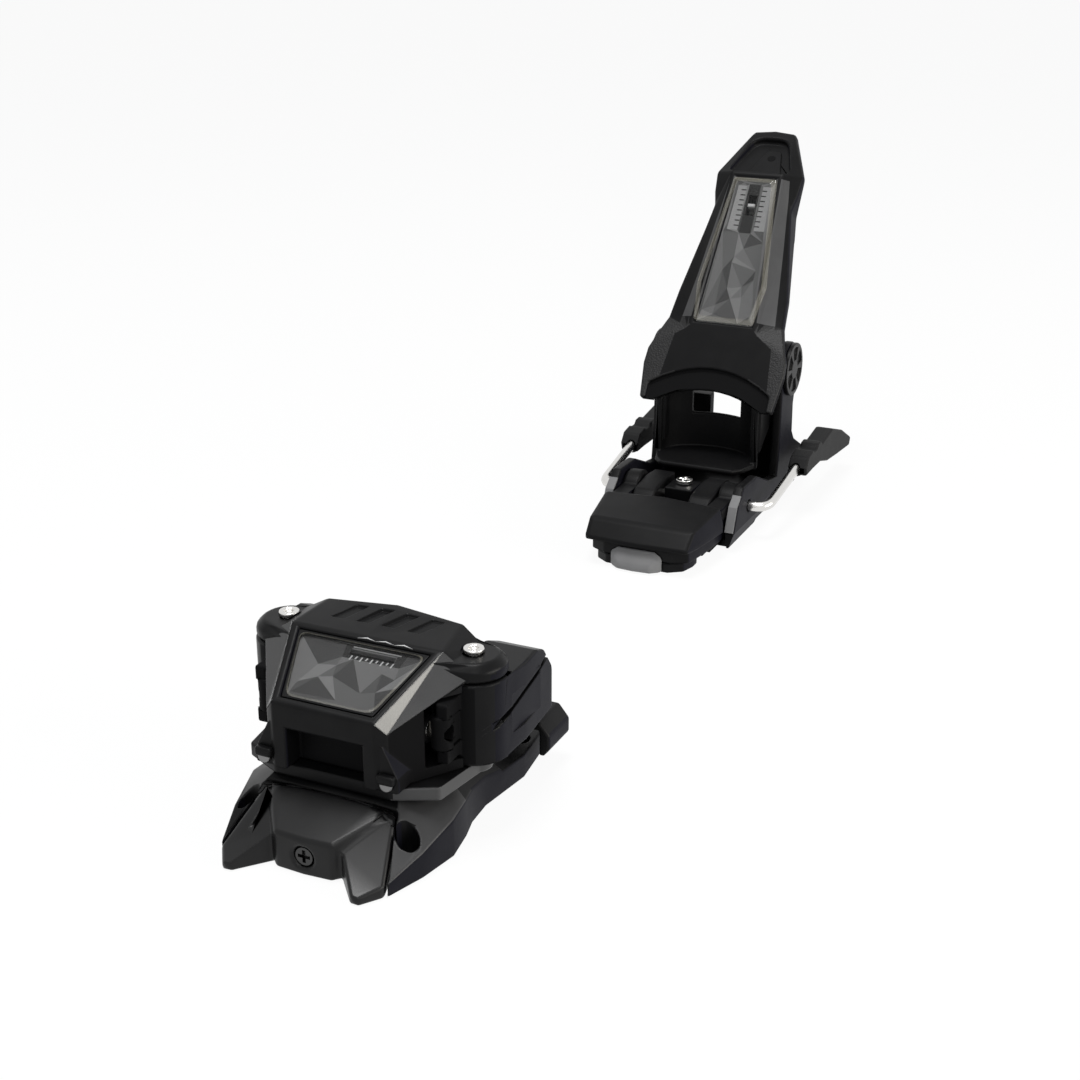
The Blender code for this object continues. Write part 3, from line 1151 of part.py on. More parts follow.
def pivot_cap(side, mats):
    """Spoked cover disc on the outer face of a tower head."""
    name = "pivot_cap_right" if side > 0 else "pivot_cap_left"
    low = CHEEK_OUT + GAP
    span = side_span(side, low, low + CAP_THICKNESS)
    cap = make_object(name, disc("YZ", (PIVOT_Y, PIVOT_Z), CAP_R, span[0], span[1], 32), mats["black"])
    recess = side_span(side, low + CAP_THICKNESS * 0.45, low + 2 * CAP_THICKNESS)
    share = 360 / CAP_SPOKES
    for i in range(CAP_SPOKES):
        first = i * share + share * 0.16
        last = (i + 1) * share - share * 0.16
        outline = (arc((PIVOT_Y, PIVOT_Z), CAP_R * 0.84, first, last, 4)
                   + arc((PIVOT_Y, PIVOT_Z), CAP_R * 0.36, last, first, 2))
        cut(cap, prism(outline, recess[0], recess[1], "YZ"))
    return cap


def heel_spring(mats):
    seat = PISTON_TIP_V + PISTON_NOSE + PISTON_FLOOR + GAP
    start = face_frame() @ Vector((0, seat, PIVOT_W))
    direction = face_frame().to_3x3() @ Vector((0, 1, 0))
    frame = along(start, direction, (1, 0, 0))
    return spring("heel_spring", HEEL_SPRING_R, HEEL_SPRING_WIRE_R, HEEL_SPRING_TURNS, frame,
                  NUT_FRONT_V - GAP - seat, mats["spring"])


def heel_tension_screw(mats):
    frame = face_frame()
    low = NUT_FRONT_V - HEEL_SCALE_TRAVEL - 2 * MM
    head = TUBE_TOP + GAP
    screw = make_object("heel_tension_screw",
                        tilted(disc("XZ", (0, PIVOT_W), HEEL_SCREW_R, low, head + 1 * MM, 16), frame),
                        mats["steel"])
    join(screw, tilted(disc("XZ", (0, PIVOT_W), HEEL_HEAD_R, head, head + HEEL_HEAD, 20), frame))
    slot = box((-2 * HEEL_HEAD_R, 2 * HEEL_HEAD_R), (head + HEEL_HEAD - 1.5 * MM, head + 2 * HEEL_HEAD),
               (PIVOT_W - 0.6 * MM, PIVOT_W + 0.6 * MM))
    return cut(screw, tilted(slot, frame))


def heel_indicator(mats):
    """Spring nut with the pointer that shows the setting under the long window."""
    frame = face_frame()
    high = NUT_FRONT_V + NUT_THICKNESS
    nut = make_object("heel_indicator",
                      tilted(disc("XZ", (0, PIVOT_W), HEEL_NUT_R, NUT_FRONT_V, high), frame), mats["white"])
    half = POINTER_WIDTH / 2
    stem = box((-1.8 * MM, 1.8 * MM), (HEEL_NUT_V - half, HEEL_NUT_V + half),
               (PIVOT_W + 4 * MM, -LENS_THICKNESS - 2 * GAP))
    join(nut, tilted(stem, frame))
    bore = disc("XZ", (0, PIVOT_W), HEEL_SCREW_R + GAP, NUT_FRONT_V - 1 * MM, high + 1 * MM, 16)
    return cut(nut, tilted(bore, frame))


def ellipse(half, depth, steps):
    """Front-opening half ellipse behind the cup's centre line, right to left."""
    points = []
    for i in range(steps + 1):
        angle = math.pi * i / steps
        points.append((half * math.cos(angle), CUP_CENTRE_Y + depth * math.sin(angle)))
    return points


def heel_cup(mats):
    """Bowl behind and under the boot heel, hung on the housing's hubs by two ears."""
    outer = ellipse(CUP_HALF, CUP_DEPTH, 16)
    inner = ellipse(CUP_HALF - CUP_WALL, CUP_DEPTH - CUP_WALL, 16)
    wall = outer + list(reversed(inner))
    cup = make_object("heel_cup", prism(wall, CUP_BOTTOM, CUP_TOP), mats["black"])
    lip_half = CUP_HALF - 4 * MM
    lip = [(lip_half, CUP_FRONT + 5 * MM)] + ellipse(CUP_HALF - 1 * MM, CUP_DEPTH - 1 * MM, 16)
    lip += [(-lip_half, CUP_FRONT + 5 * MM), (4 * MM - lip_half, CUP_FRONT), (lip_half - 4 * MM, CUP_FRONT)]
    join(cup, prism(lip, CUP_BOTTOM + 0.2 * MM, CUP_BOTTOM + CUP_LIP))
    ear_top = PIVOT_Z - HUB_R + 2.5 * MM
    for side in (1, -1):
        ear = side_span(side, CUP_HALF - CUP_WALL - 1.5 * MM, CUP_HALF + 0.8 * MM)
        outline = ((CUP_CENTRE_Y + 2 * MM, CUP_BOTTOM + 8 * MM), (PIVOT_Y, CUP_TOP - 8 * MM),
                   (PIVOT_Y + 6 * MM, CUP_TOP), (PIVOT_Y + 6 * MM, ear_top), (PIVOT_Y - 9 * MM, ear_top),
                   (CUP_CENTRE_Y + 2 * MM, CUP_TOP - 2 * MM))
        join(cup, prism(outline, ear[0], ear[1], "YZ"))
    cut(cup, box((-CUP_NOTCH_HALF, CUP_NOTCH_HALF), (CUP_CENTRE_Y + 4 * MM, CUP_CENTRE_Y + 2 * CUP_DEPTH),
                 (CUP_TOP - CUP_NOTCH, CUP_TOP + 5 * MM)))
    out = CHEEK_OUT
    jaw_space = box((-out, out), (-20 * MM, 60 * MM), (-JAW_PLATE - GAP, 30 * MM))
    hub_space = disc("YZ", (PIVOT_Y, PIVOT_Z), HUB_R + GAP, -out, out, 32)
    return cut(cup, hub_space, tilted(jaw_space, face_frame()))


# Heel brake


def brake_base(mats):
    """Plate over the track's front end with a boss for the brake axle."""
    flank_back = CARRIAGE_FRONT - 4 * MM
    flank = flank_back - BRAKE_BASE_FRONT
    half = [(0, BRAKE_BASE_FRONT), (16 * MM, BRAKE_BASE_FRONT), (23.5 * MM, BRAKE_BASE_FRONT + 0.12 * flank),
            (26.5 * MM, BRAKE_BASE_FRONT + 0.64 * flank), (27.2 * MM, flank_back),
            (27.2 * MM, BRAKE_BASE_BACK), (0, BRAKE_BASE_BACK)]
    low = TRACK_TOP + RUN
    base = make_object("brake_base", prism(mirrored(half), low, BRAKE_BASE_TOP), mats["black"])
    apron_back = TRACK_FRONT - CARRIAGE_TRAVEL - 1 * MM
    apron = [(0, BRAKE_BASE_FRONT + 0.3 * MM), (15 * MM, BRAKE_BASE_FRONT + 0.3 * MM),
             (21 * MM, BRAKE_BASE_FRONT + 4.6 * MM), (23 * MM, BRAKE_BASE_FRONT + 12 * MM),
             (23 * MM, apron_back), (0, apron_back)]
    join(base, prism(mirrored(apron), 0.6 * MM, low + 1 * MM),
         box((-BOSS_HALF, BOSS_HALF), (BRAKE_Y - 7 * MM, BRAKE_BASE_BACK - 0.5 * MM),
             (BRAKE_BASE_TOP - 1 * MM, BOSS_TOP)))
    return cut(base, disc("YZ", (BRAKE_Y, BRAKE_Z), BRAKE_AXLE_R + GAP, -BOSS_HALF * 2, BOSS_HALF * 2, 16))


def brake_chin(mats):
    """Grey nose that closes the brake base in front."""
    points = {
        "front_mid": (0, CHIN_FRONT, 4.0 * MM),
        "front": (CHIN_HALF - 5 * MM, CHIN_FRONT + 0.6 * MM, 4.0 * MM),
        "side": (CHIN_HALF, BRAKE_BASE_FRONT - GAP, 8.0 * MM),
        "back_mid": (0, BRAKE_BASE_FRONT - GAP, BRAKE_BASE_TOP - 0.5 * MM),
        "back": (CHIN_HALF - 4 * MM, BRAKE_BASE_FRONT - GAP, BRAKE_BASE_TOP - 0.5 * MM),
    }
    faces = (("front_mid", "front", "back", "back_mid"), ("front", "side", "back"))
    return make_object("brake_chin", relief(points, faces, {"all": 0.6 * MM}), mats["grey"])


def brake_pedal(mats):
    """Plate under the boot heel with two lugs on the brake axle."""
    low = BRAKE_BASE_TOP + RUN
    length = PEDAL_BACK - PEDAL_FRONT
    points = {
        "nose_mid": (0, PEDAL_FRONT - 0.6 * MM, 13.5 * MM),
        "nose": (24.6 * MM, PEDAL_FRONT + 0.8 * MM, 13.5 * MM),
        "brow_mid": (0, PEDAL_FRONT + 0.19 * length, 20.6 * MM),
        "brow": (25.2 * MM, PEDAL_FRONT + 0.21 * length, 20.4 * MM),
        "side_1": (27.4 * MM, PEDAL_FRONT + 0.29 * length, 15.0 * MM),
        "side_2": (30.4 * MM, PEDAL_BACK - 4 * MM, 15.5 * MM),
        "top": (28.4 * MM, PEDAL_BACK - 4 * MM, 23.8 * MM),
        "top_mid": (0, PEDAL_BACK - 2 * MM, 24.6 * MM),
        "back": (26.0 * MM, PEDAL_BACK, 20.0 * MM),
        "back_mid": (0, PEDAL_BACK + 1 * MM, 20.0 * MM),
    }
    faces = (
        ("nose_mid", "nose", "brow", "brow_mid"), ("nose", "side_1", "brow"),
        ("brow", "side_1", "side_2", "top"), ("brow_mid", "brow", "top", "top_mid"),
        ("top_mid", "top", "back", "back_mid"), ("top", "side_2", "back"),
    )
    pedal = make_object("brake_pedal", relief(points, faces, {"all": low}), mats["black"])
    for side in (1, -1):
        span = side_span(side, PEDAL_LUG_IN, PEDAL_LUG_OUT)
        top = BRAKE_Z + PEDAL_LUG_R
        bar = ((PEDAL_BACK - 6 * MM, low + 0.2 * MM), (BRAKE_Y, low + 0.2 * MM), (BRAKE_Y, top),
               (PEDAL_BACK - 6 * MM, top))
        join(pedal, prism(bar, span[0], span[1], "YZ"),
             disc("YZ", (BRAKE_Y, BRAKE_Z), PEDAL_LUG_R, span[0] + 0.1 * MM, span[1] - 0.1 * MM, 20))
        hole = side_span(side, PEDAL_LUG_IN - 2 * MM, PEDAL_LUG_OUT + 2 * MM)
        cut(pedal, disc("YZ", (BRAKE_Y, BRAKE_Z), WIRE_R + GAP, hole[0], hole[1], 16))
    return pedal


def rounded_path(corners, radii, steps=6):
    """Path through corners, each inner corner rounded by a short curve."""
    points = [corners[0]]
    for before, corner, after, radius in zip(corners, corners[1:], corners[2:], radii):
        away = (before - corner).normalized() * radius
        ahead = (after - corner).normalized() * radius
        for i in range(steps + 1):
            share = i / steps
            first = corner + away * (1 - share)
            last = corner + ahead * share
            points.append(first.lerp(last, share))
    points.append(corners[-1])
    return points


def brake_wire_corners(side):
    """Wire from the pedal's lug out through the cheek, back past the tower and into the shoe."""
    corners = ((WIRE_START_X, BRAKE_Y, BRAKE_Z), (WIRE_BEND_X, BRAKE_Y, BRAKE_Z), WIRE_KNEE, WIRE_END)
    return [Vector((side * x, y, z)) for x, y, z in corners]


def brake_arm(side, mats):
    name = "brake_arm_right" if side > 0 else "brake_arm_left"
    path = rounded_path(brake_wire_corners(side), (WIRE_BEND_R, WIRE_KNEE_R))
    return tube(name, path, WIRE_R, mats["steel"], 2)


def brake_shoe(side, mats):
    """Stepped shoe on the end of a brake wire: a clip in front, a blade that droops behind."""
    name = "brake_shoe_right" if side > 0 else "brake_shoe_left"
    x, y, z = WIRE_KNEE
    outline = ((y - 9 * MM, z - 5 * MM), (y - 10.5 * MM, z - 0.5 * MM), (y - 7 * MM, z + 4 * MM),
               (y + 1 * MM, z + 5.4 * MM), (y + 3 * MM, z + 4.2 * MM), (y + 7 * MM, z + 4.2 * MM),
               (y + 9 * MM, z + 6.2 * MM), (y + 14 * MM, z + 6.6 * MM), (y + 17 * MM, z + 4.6 * MM),
               (y + 35 * MM, z + 7 * MM), (y + 55 * MM, z + 0.5 * MM), (y + 72 * MM, z - 8 * MM),
               (y + 70 * MM, z - 12.4 * MM), (y + 48 * MM, z - 10.5 * MM), (y + 29 * MM, z - 8.5 * MM),
               (y + 16 * MM, z - 4.8 * MM), (y + 2 * MM, z - 4.6 * MM))
    middle = (WIRE_KNEE[0] + WIRE_END[0]) / 2
    span = side_span(side, middle - SHOE_HALF_WIDTH, middle + SHOE_HALF_WIDTH)
    shoe = make_object(name, prism(outline, span[0], span[1], "YZ"), mats["rubber"])
    corners = brake_wire_corners(side)
    for start, end, lead, past in ((corners[1], corners[2], -9 * MM, 1.5 * MM),
                                   (corners[2], corners[3], 2.2 * MM, GAP)):
        frame = along(start, end - start, (1, 0, 0))
        channel = disc("XY", (0, 0), WIRE_R + GAP, -lead, (end - start).length + past, 16)
        cut(shoe, tilted(channel, frame))
    return shoe


def brake_axle(mats):
    reach = PEDAL_LUG_IN - RUN
    return make_object("brake_axle", disc("YZ", (BRAKE_Y, BRAKE_Z), BRAKE_AXLE_R, -reach, reach, 16),
                       mats["steel"])


def brake_spring(mats):
    low = BOSS_HALF + GAP
    length = PEDAL_LUG_IN - RUN - low
    frame = along((low, BRAKE_Y, BRAKE_Z), (1, 0, 0), (0, 0, 1))
    return spring("brake_spring", BRAKE_SPRING_R, BRAKE_SPRING_WIRE_R, BRAKE_SPRING_TURNS, frame, length,
                  mats["spring"])


def brake_screw(mats):
    centre = (0, BRAKE_Y + 1.5 * MM)
    low = BOSS_TOP + GAP
    screw = make_object("brake_screw", disc("XY", centre, BRAKE_SCREW_R, low, low + BRAKE_SCREW_HEAD, 20),
                        mats["steel"])
    half = 0.6 * MM
    reach = BRAKE_SCREW_R * 0.65
    top = low + BRAKE_SCREW_HEAD
    y = centre[1]
    return cut(screw, box((-half, half), (y - reach, y + reach), (top - 1.1 * MM, top + 1 * MM)),
               box((-reach, reach), (y - half, y + half), (top - 1.1 * MM, top + 1 * MM)))


# Assembly


def build_toe(mats):
    toe_base(mats)
    toe_nose_cover(mats)
    toe_housing(mats)
    toe_window(mats)
    toe_scale_plate(mats)
    toe_spring(mats)
    for side in (1, -1):
        word = "right" if side > 0 else "left"
        smooth(wing_pin(side, mats))
        smooth(foot_rivet(side, mats))
        wing_joint = joint_empty(f"wing_{word}_joint", (side * WING_PIVOT_X, 0, WING_Z0))
        carry(wing_joint, toe_wing(side, mats))
        plunger_joint = joint_empty(f"plunger_{word}_joint", (0, BARREL_Y, BARREL_HEIGHT))
        carry(plunger_joint, toe_plunger(side, mats))
        if side > 0:
            carry(plunger_joint, smooth(toe_tension_screw(mats)), toe_indicator(mats))
    screw_joint = joint_empty("height_screw_joint", (0, 0, HEIGHT_SCREW_Z))
    carry(screw_joint, smooth(afd_height_screw(mats)))
    rest_joint = joint_empty("boot_rest_joint", (0, CARRIER_FRONT, CARRIER_TOP))
    carry(rest_joint, afd_wedge(mats), afd_carrier(mats), afd_slider(mats))


def build_heel(mats):
    heel_track(mats)
    carriage_joint = joint_empty("carriage_joint", (0, PIVOT_Y, TRACK_TOP))
    carry(carriage_joint, heel_carriage(mats), heel_cam(mats), smooth(heel_axle(mats)),
          smooth(pivot_cap(1, mats)), smooth(pivot_cap(-1, mats)), brake_base(mats), brake_chin(mats),
          smooth(brake_axle(mats)), brake_spring(mats), smooth(brake_screw(mats)))
    worm_joint = joint_empty("length_screw_joint", (0, CARRIAGE_BACK, WORM_Z))
    carry(worm_joint, smooth(length_screw(mats)))
    lever_joint = joint_empty("heel_lever_joint", (0, PIVOT_Y, PIVOT_Z))
    carry(lever_joint, heel_housing(mats), heel_window(mats), heel_scale_plate(mats), heel_cup(mats),
          smooth(heel_piston(mats)), heel_spring(mats), smooth(heel_tension_screw(mats)),
          heel_indicator(mats))
    brake_joint = joint_empty("brake_joint", (0, BRAKE_Y, BRAKE_Z))
    carry(brake_joint, brake_pedal(mats))
    for side in (1, -1):
        carry(brake_joint, brake_arm(side, mats), brake_shoe(side, mats))


def main():
    for obj in list(bpy.data.objects):
        bpy.data.objects.remove(obj)
    mats = make_materials()
    build_toe(mats)
    build_heel(mats)


main()
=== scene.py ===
"""Looks of the ski binding: moulded black shells, clear windows over printed plates, plated steel."""

import math

import bmesh
import bpy
from mathutils import Matrix, Vector
from mathutils.bvhtree import BVHTree
from mathutils.geometry import delaunay_2d_cdt

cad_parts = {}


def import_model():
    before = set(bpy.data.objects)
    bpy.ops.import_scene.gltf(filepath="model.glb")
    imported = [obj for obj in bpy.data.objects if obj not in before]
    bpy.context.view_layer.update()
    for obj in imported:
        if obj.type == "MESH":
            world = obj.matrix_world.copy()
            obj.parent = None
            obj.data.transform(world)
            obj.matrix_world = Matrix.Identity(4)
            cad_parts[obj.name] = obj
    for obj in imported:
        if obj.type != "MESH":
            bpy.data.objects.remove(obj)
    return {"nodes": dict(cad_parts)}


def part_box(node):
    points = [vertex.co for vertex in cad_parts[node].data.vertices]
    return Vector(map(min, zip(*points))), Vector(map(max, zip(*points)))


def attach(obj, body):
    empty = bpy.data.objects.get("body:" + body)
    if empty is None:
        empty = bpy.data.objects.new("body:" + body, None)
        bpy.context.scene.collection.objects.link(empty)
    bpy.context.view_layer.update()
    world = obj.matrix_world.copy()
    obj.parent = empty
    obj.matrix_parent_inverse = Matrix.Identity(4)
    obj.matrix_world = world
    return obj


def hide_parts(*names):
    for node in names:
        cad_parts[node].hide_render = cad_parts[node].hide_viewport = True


MM = 0.001
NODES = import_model()["nodes"]
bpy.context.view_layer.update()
SIDES = (("left", -1), ("right", 1))


def mm(*points):
    """Points written in millimetres."""
    return [tuple(value * MM for value in point) for point in points]


# Camera, worked out from the photograph's perspective
CAMERA_PLACE = (263 * MM, -438 * MM, 294 * MM)
CAMERA_YAW = math.radians(25.06)
CAMERA_PITCH = math.radians(21.37)
CAMERA_LENS = 56.67
SENSOR = 36.0

# Floor and surroundings
FLOOR_RADIUS = 14.0
BACKDROP_WHITE = 0.93

# Planes and sizes of the two windows, and levels under them
TOE_WINDOW_PLACE = (0, -34.2 * MM, 51.4 * MM)
TOE_WINDOW_TILT = math.radians(27.3)
TOE_WINDOW_LENGTH = 27.3 * MM
TOE_WINDOW_HALF = (17.0 * MM, 24.6 * MM)
LEVER_FACE_PLACE = (0, 312.0 * MM, 55.0 * MM)
LEVER_FACE_TILT = math.radians(56.66)
HEEL_WINDOW_V = 42.0 * MM
HEEL_WINDOW_LENGTH = 76.6 * MM
HEEL_WINDOW_HALF = (14.8 * MM, 10.5 * MM)
LENS_THICKNESS = 1.6 * MM
LENS_FRAME = 0.7 * MM
TOE_LENS_CORNER = 3.2 * MM
HEEL_LENS_CORNER = 1.6 * MM
PLATE_DROP = 1.9 * MM
SHEET_LEVEL = -PLATE_DROP + 0.06 * MM
PRINT_LEVEL = -PLATE_DROP + 0.05 * MM
INK = 0.04 * MM

# Right chamfer beside the toe's window
TOE_CHAMFER = mm((22.0, -34.6, 46.1), (38.5, -9.0, 58.3), (28.1, -8.3, 64.75), (18.8, -36.8, 50.1))

# On the lever's front face, measured across it, up along it and out of it
HEEL_SHIELD = mm((-15.2, 42.3), (15.2, 42.3), (17.6, 62), (11.0, 118.3), (-11.0, 118.3), (-17.6, 62))
STRIP_LINES = (mm((25.5, 44), (16.8, 119)), mm((-22.0, 44), (-13.6, 112)))
STRIP_ENDS = (44 * MM, 119 * MM)
STRIP_DEPTH = -6 * MM
TIP_START = 121 * MM
TIP_END = (149.4 * MM, -13.2 * MM)
# Below this height and depth the jaw's recess takes painted shade
JAW_TOP = 20 * MM
JAW_DEPTH = -1.2 * MM
GRAIN_TOP = 42 * MM
GRAIN_INNER = 17 * MM

# Where the finish changes on the toe's housing, wings and base: painted shade in the pockets, arch, rim and
# claws, a painted highlight on the right shoulder, a grey deck edge
POCKET_INNER = 24.5 * MM
POCKET_SPAN = (-33 * MM, -3 * MM)
POCKET_TOP = 52 * MM
ARCH_FRONT = -35 * MM
ARCH_HALF = 15 * MM
ARCH_TOP = 41 * MM
RIM_FRONT = -5 * MM
RIM_FOOT = 63.8 * MM
CLAW_BACK = -10.5 * MM
SHOULDER_INNER = 17 * MM
SHOULDER_SPAN = (-52 * MM, -12 * MM)
SHOULDER_TOP = 21 * MM
DECK_TOP = 26.4 * MM
DECK_BACK = 12 * MM

# Beside the brake: its axis along the ski and up, and spans across the ski
BRAKE_AXIS = (286.2 * MM, 16.7 * MM)
HUB_RADIUS = 9.6 * MM
HUB_SPAN = (19.9 * MM, 28.2 * MM)
HOLLOW_RADIUS = 10 * MM
HOLLOW_SPAN = (19.6 * MM, 28.5 * MM)
APRON_SPAN = (8.6 * MM, 19.4 * MM)
TRIM_SPAN = (28.9 * MM, 33.0 * MM)

# Corners of a mesh closer than this are one
MERGE = 0.002 * MM

TOE_FACE = Matrix.Translation(TOE_WINDOW_PLACE) @ Matrix.Rotation(TOE_WINDOW_TILT, 4, "X")
HEEL_FACE = Matrix.Translation(LEVER_FACE_PLACE) @ Matrix.Rotation(LEVER_FACE_TILT, 4, "X")


# Materials


class Shader:
    """A Principled material with short calls for the nodes that feed it."""

    def __init__(self, name, colour, roughness, metallic=0.0, specular=0.5):
        self.material = bpy.data.materials.new(name)
        self.material.use_nodes = True
        self.tree = self.material.node_tree
        self.surface = self.tree.nodes["Principled BSDF"]
        self.set("Base Color", (*colour, 1.0))
        self.set("Roughness", roughness)
        self.set("Metallic", metallic)
        self.set("Specular IOR Level", specular)
        place = self.tree.nodes.new("ShaderNodeTexCoord")
        self.place = place.outputs["Object"]

    def set(self, socket, value):
        self.surface.inputs[socket].default_value = value

    def link(self, output, socket):
        self.tree.links.new(output, self.surface.inputs[socket])

    def node(self, kind, **values):
        made = self.tree.nodes.new(kind)
        for name, value in values.items():
            if isinstance(value, bpy.types.NodeSocket):
                self.tree.links.new(value, made.inputs[name.replace("_", " ")])
            else:
                made.inputs[name.replace("_", " ")].default_value = value
        return made

    def noise(self, size, detail=3.0):
        return self.node("ShaderNodeTexNoise", Vector=self.place, Scale=1 / size, Detail=detail)

    def vary_roughness(self, size, low, high):
        noise = self.noise(size)
        spread = self.node("ShaderNodeMapRange", Value=noise.outputs["Fac"], To_Min=low, To_Max=high)
        self.link(spread.outputs["Result"], "Roughness")

    def vary_colour(self, size, dark, light):
        noise = self.noise(size)
        ramp = self.tree.nodes.new("ShaderNodeValToRGB")
        ramp.color_ramp.elements[0].position = 0.3
        ramp.color_ramp.elements[0].color = (*dark, 1.0)
        ramp.color_ramp.elements[1].position = 0.7
        ramp.color_ramp.elements[1].color = (*light, 1.0)
        self.tree.links.new(noise.outputs["Fac"], ramp.inputs["Fac"])
        self.link(ramp.outputs["Color"], "Base Color")

    def bump(self, height, depth, edge=0.0):
        """Relief of a real depth, over edges rounded by a real radius."""
        made = self.node("ShaderNodeBump", Height=height, Distance=depth, Strength=1.0)
        if edge:
            rounded = self.node("ShaderNodeBevel", Radius=edge)
            rounded.samples = 4
            self.tree.links.new(rounded.outputs["Normal"], made.inputs["Normal"])
        self.link(made.outputs["Normal"], "Normal")


def moulded(name, dark, light, roughness, specular, grain, depth, edge=0.5 * MM):
    """Moulded plastic: faint cloudiness, uneven gloss and a fine grain."""
    shader = Shader(name, light, roughness, 0.0, specular)
    shader.vary_colour(9 * MM, dark, light)
    shader.vary_roughness(14 * MM, roughness - 0.05, roughness + 0.05)
    shader.bump(shader.noise(grain, 2.0).outputs["Fac"], depth, edge)
    return shader.material


def pebbled(name, dark, light, roughness, specular, grain, depth):
    """Plastic with a raised pebble texture from the mould."""
    shader = Shader(name, light, roughness, 0.0, specular)
    shader.vary_colour(6 * MM, dark, light)
    cells = shader.node("ShaderNodeTexVoronoi", Vector=shader.place, Scale=1 / grain)
    shader.bump(cells.outputs["Distance"], -depth)
    return shader.material


def plated(name, colour, roughness):
    """Bright plated steel with drawn marks too fine to see singly."""
    shader = Shader(name, colour, roughness, 1.0)
    shader.vary_roughness(3 * MM, roughness - 0.04, roughness + 0.06)
    shader.bump(shader.noise(0.4 * MM).outputs["Fac"], 0.004 * MM, 0.25 * MM)
    return shader.material


def clear(name, colour, cover, roughness):
    """Clear plastic thin enough to show what lies under it, with its own gloss on top; in pale colours it
    paints highlights on a lens's edges.
    """
    shader = Shader(name, colour, roughness, 0.0, 0.4)
    shader.set("Alpha", cover)
    shader.vary_roughness(8 * MM, roughness - 0.02, roughness + 0.02)
    return shader.material


def printed(name, grey):
    """Ink on a plate, with the faint tooth of the printed film. The same finish in pale grey also paints
    glints of light.
    """
    shade = [grey * 0.94] * 3
    shader = Shader(name, [grey] * 3, 0.5, 0.0, 0.3)
    shader.vary_colour(2 * MM, shade, [grey] * 3)
    shader.bump(shader.noise(0.25 * MM).outputs["Fac"], 0.01 * MM)
    return shader.material


BLACK = (0.0055, 0.0055, 0.0058)
BLACK_DEEP = (0.0035, 0.0035, 0.0038)
# Painted light: a lighter, bluish black for faces turned left and right, standing for cool light on the
# sides
SIDE_COOL_TINT = (0.0075, 0.0075, 0.011)
SIDE_COOL_TINT_DEEP = (0.005, 0.005, 0.008)
# Painted highlight: a greyer black for the right shoulder's top facets, where light catches them
SHOULDER_HIGHLIGHT = (0.026, 0.026, 0.027)
SHOULDER_HIGHLIGHT_DEEP = (0.02, 0.02, 0.021)
STRIP = (0.044, 0.044, 0.045)
STRIP_DEEP = (0.038, 0.038, 0.039)
GREY = (0.18, 0.18, 0.182)
GREY_DEEP = (0.155, 0.155, 0.158)
GREYS = (0.055, 0.1, 0.15, 0.21, 0.28)

MATERIALS = {
    "satin": moulded("black_satin", BLACK_DEEP, BLACK, 0.36, 0.1, 0.3 * MM, 0.006 * MM),
    "sheen": moulded("black_sheen", BLACK_DEEP, BLACK, 0.34, 0.24, 0.3 * MM, 0.006 * MM),
    "matt": moulded("black_matt", BLACK_DEEP, BLACK, 0.42, 0.08, 0.3 * MM, 0.006 * MM),
    "gloss": moulded("black_gloss", BLACK_DEEP, BLACK, 0.24, 0.6, 0.5 * MM, 0.003 * MM),
    # Sides: painted cool light in the colour, on a rougher, less glossy surface
    "side": moulded("black_side_painted_cool_tint", SIDE_COOL_TINT_DEEP, SIDE_COOL_TINT, 0.5, 0.06, 0.3 * MM, 0.008 * MM),
    # Painted shade: deep black plastic, darker than the rest, for recesses, undersides and parts that sit in
    # shade
    "inner": moulded("black_painted_shade", BLACK_DEEP, BLACK_DEEP, 0.6, 0.05, 0.4 * MM, 0.008 * MM),
    "grain": pebbled("black_grain", BLACK_DEEP, BLACK, 0.5, 0.25, 0.9 * MM, 0.12 * MM),
    "rubber": moulded("black_rubber", BLACK_DEEP, BLACK, 0.6, 0.15, 0.5 * MM, 0.02 * MM),
    "grey": moulded("grey_moulding", GREY_DEEP, GREY, 0.5, 0.2, 0.3 * MM, 0.01 * MM),
    "shoulder_highlight": moulded("painted_shoulder_highlight", SHOULDER_HIGHLIGHT_DEEP, SHOULDER_HIGHLIGHT, 0.42, 0.3, 0.3 * MM, 0.006 * MM),
    "strip": moulded("dark_grey_strip", STRIP_DEEP, STRIP, 0.42, 0.3, 0.3 * MM, 0.006 * MM),
    "white": printed("white_print", 0.75),
    "scale": printed("pale_scale", 0.42),
    # Painted glints: a pale grey standing in for light caught along the lens's top edge
    "edge": printed("painted_glint", 0.55),
    "slot": printed("slot_black", 0.004),
    "clear": clear("clear_lens", (0.02, 0.02, 0.02), 0.18, 0.04),
    # Painted highlights: pale tones on the lens's walls and bevel, standing for light caught in the clear
    # plastic's edges
    "lens_wall_highlight": clear("clear_lens_painted_wall_highlight", (0.5, 0.49, 0.44), 0.5, 0.12),
    "lens_bevel_highlight": clear("clear_lens_painted_bevel_highlight", (0.4, 0.38, 0.31), 0.2, 0.08),
    "dark_steel": plated("blackened_steel", (0.06, 0.06, 0.06), 0.3),
    # Darker plated steel, used for the foot rivets
    "darker_steel": plated("darker_steel", (0.2, 0.2, 0.2), 0.35),
    "steel": plated("plated_steel", (0.72, 0.71, 0.69), 0.18),
    "spring": plated("spring_steel", (0.35, 0.35, 0.36), 0.3),
}
for step, grey in enumerate(GREYS):
    MATERIALS[f"label_{step}"] = printed(f"label_grey_{step}", grey)


# Mesh tools


def make_object(name, bm, material):
    """New object in the scene from a bmesh, which is used up."""
    mesh = bpy.data.meshes.new(name)
    bm.to_mesh(mesh)
    bm.free()
    obj = bpy.data.objects.new(name, mesh)
    bpy.context.scene.collection.objects.link(obj)
    if material:
        mesh.materials.append(MATERIALS[material])
    return obj


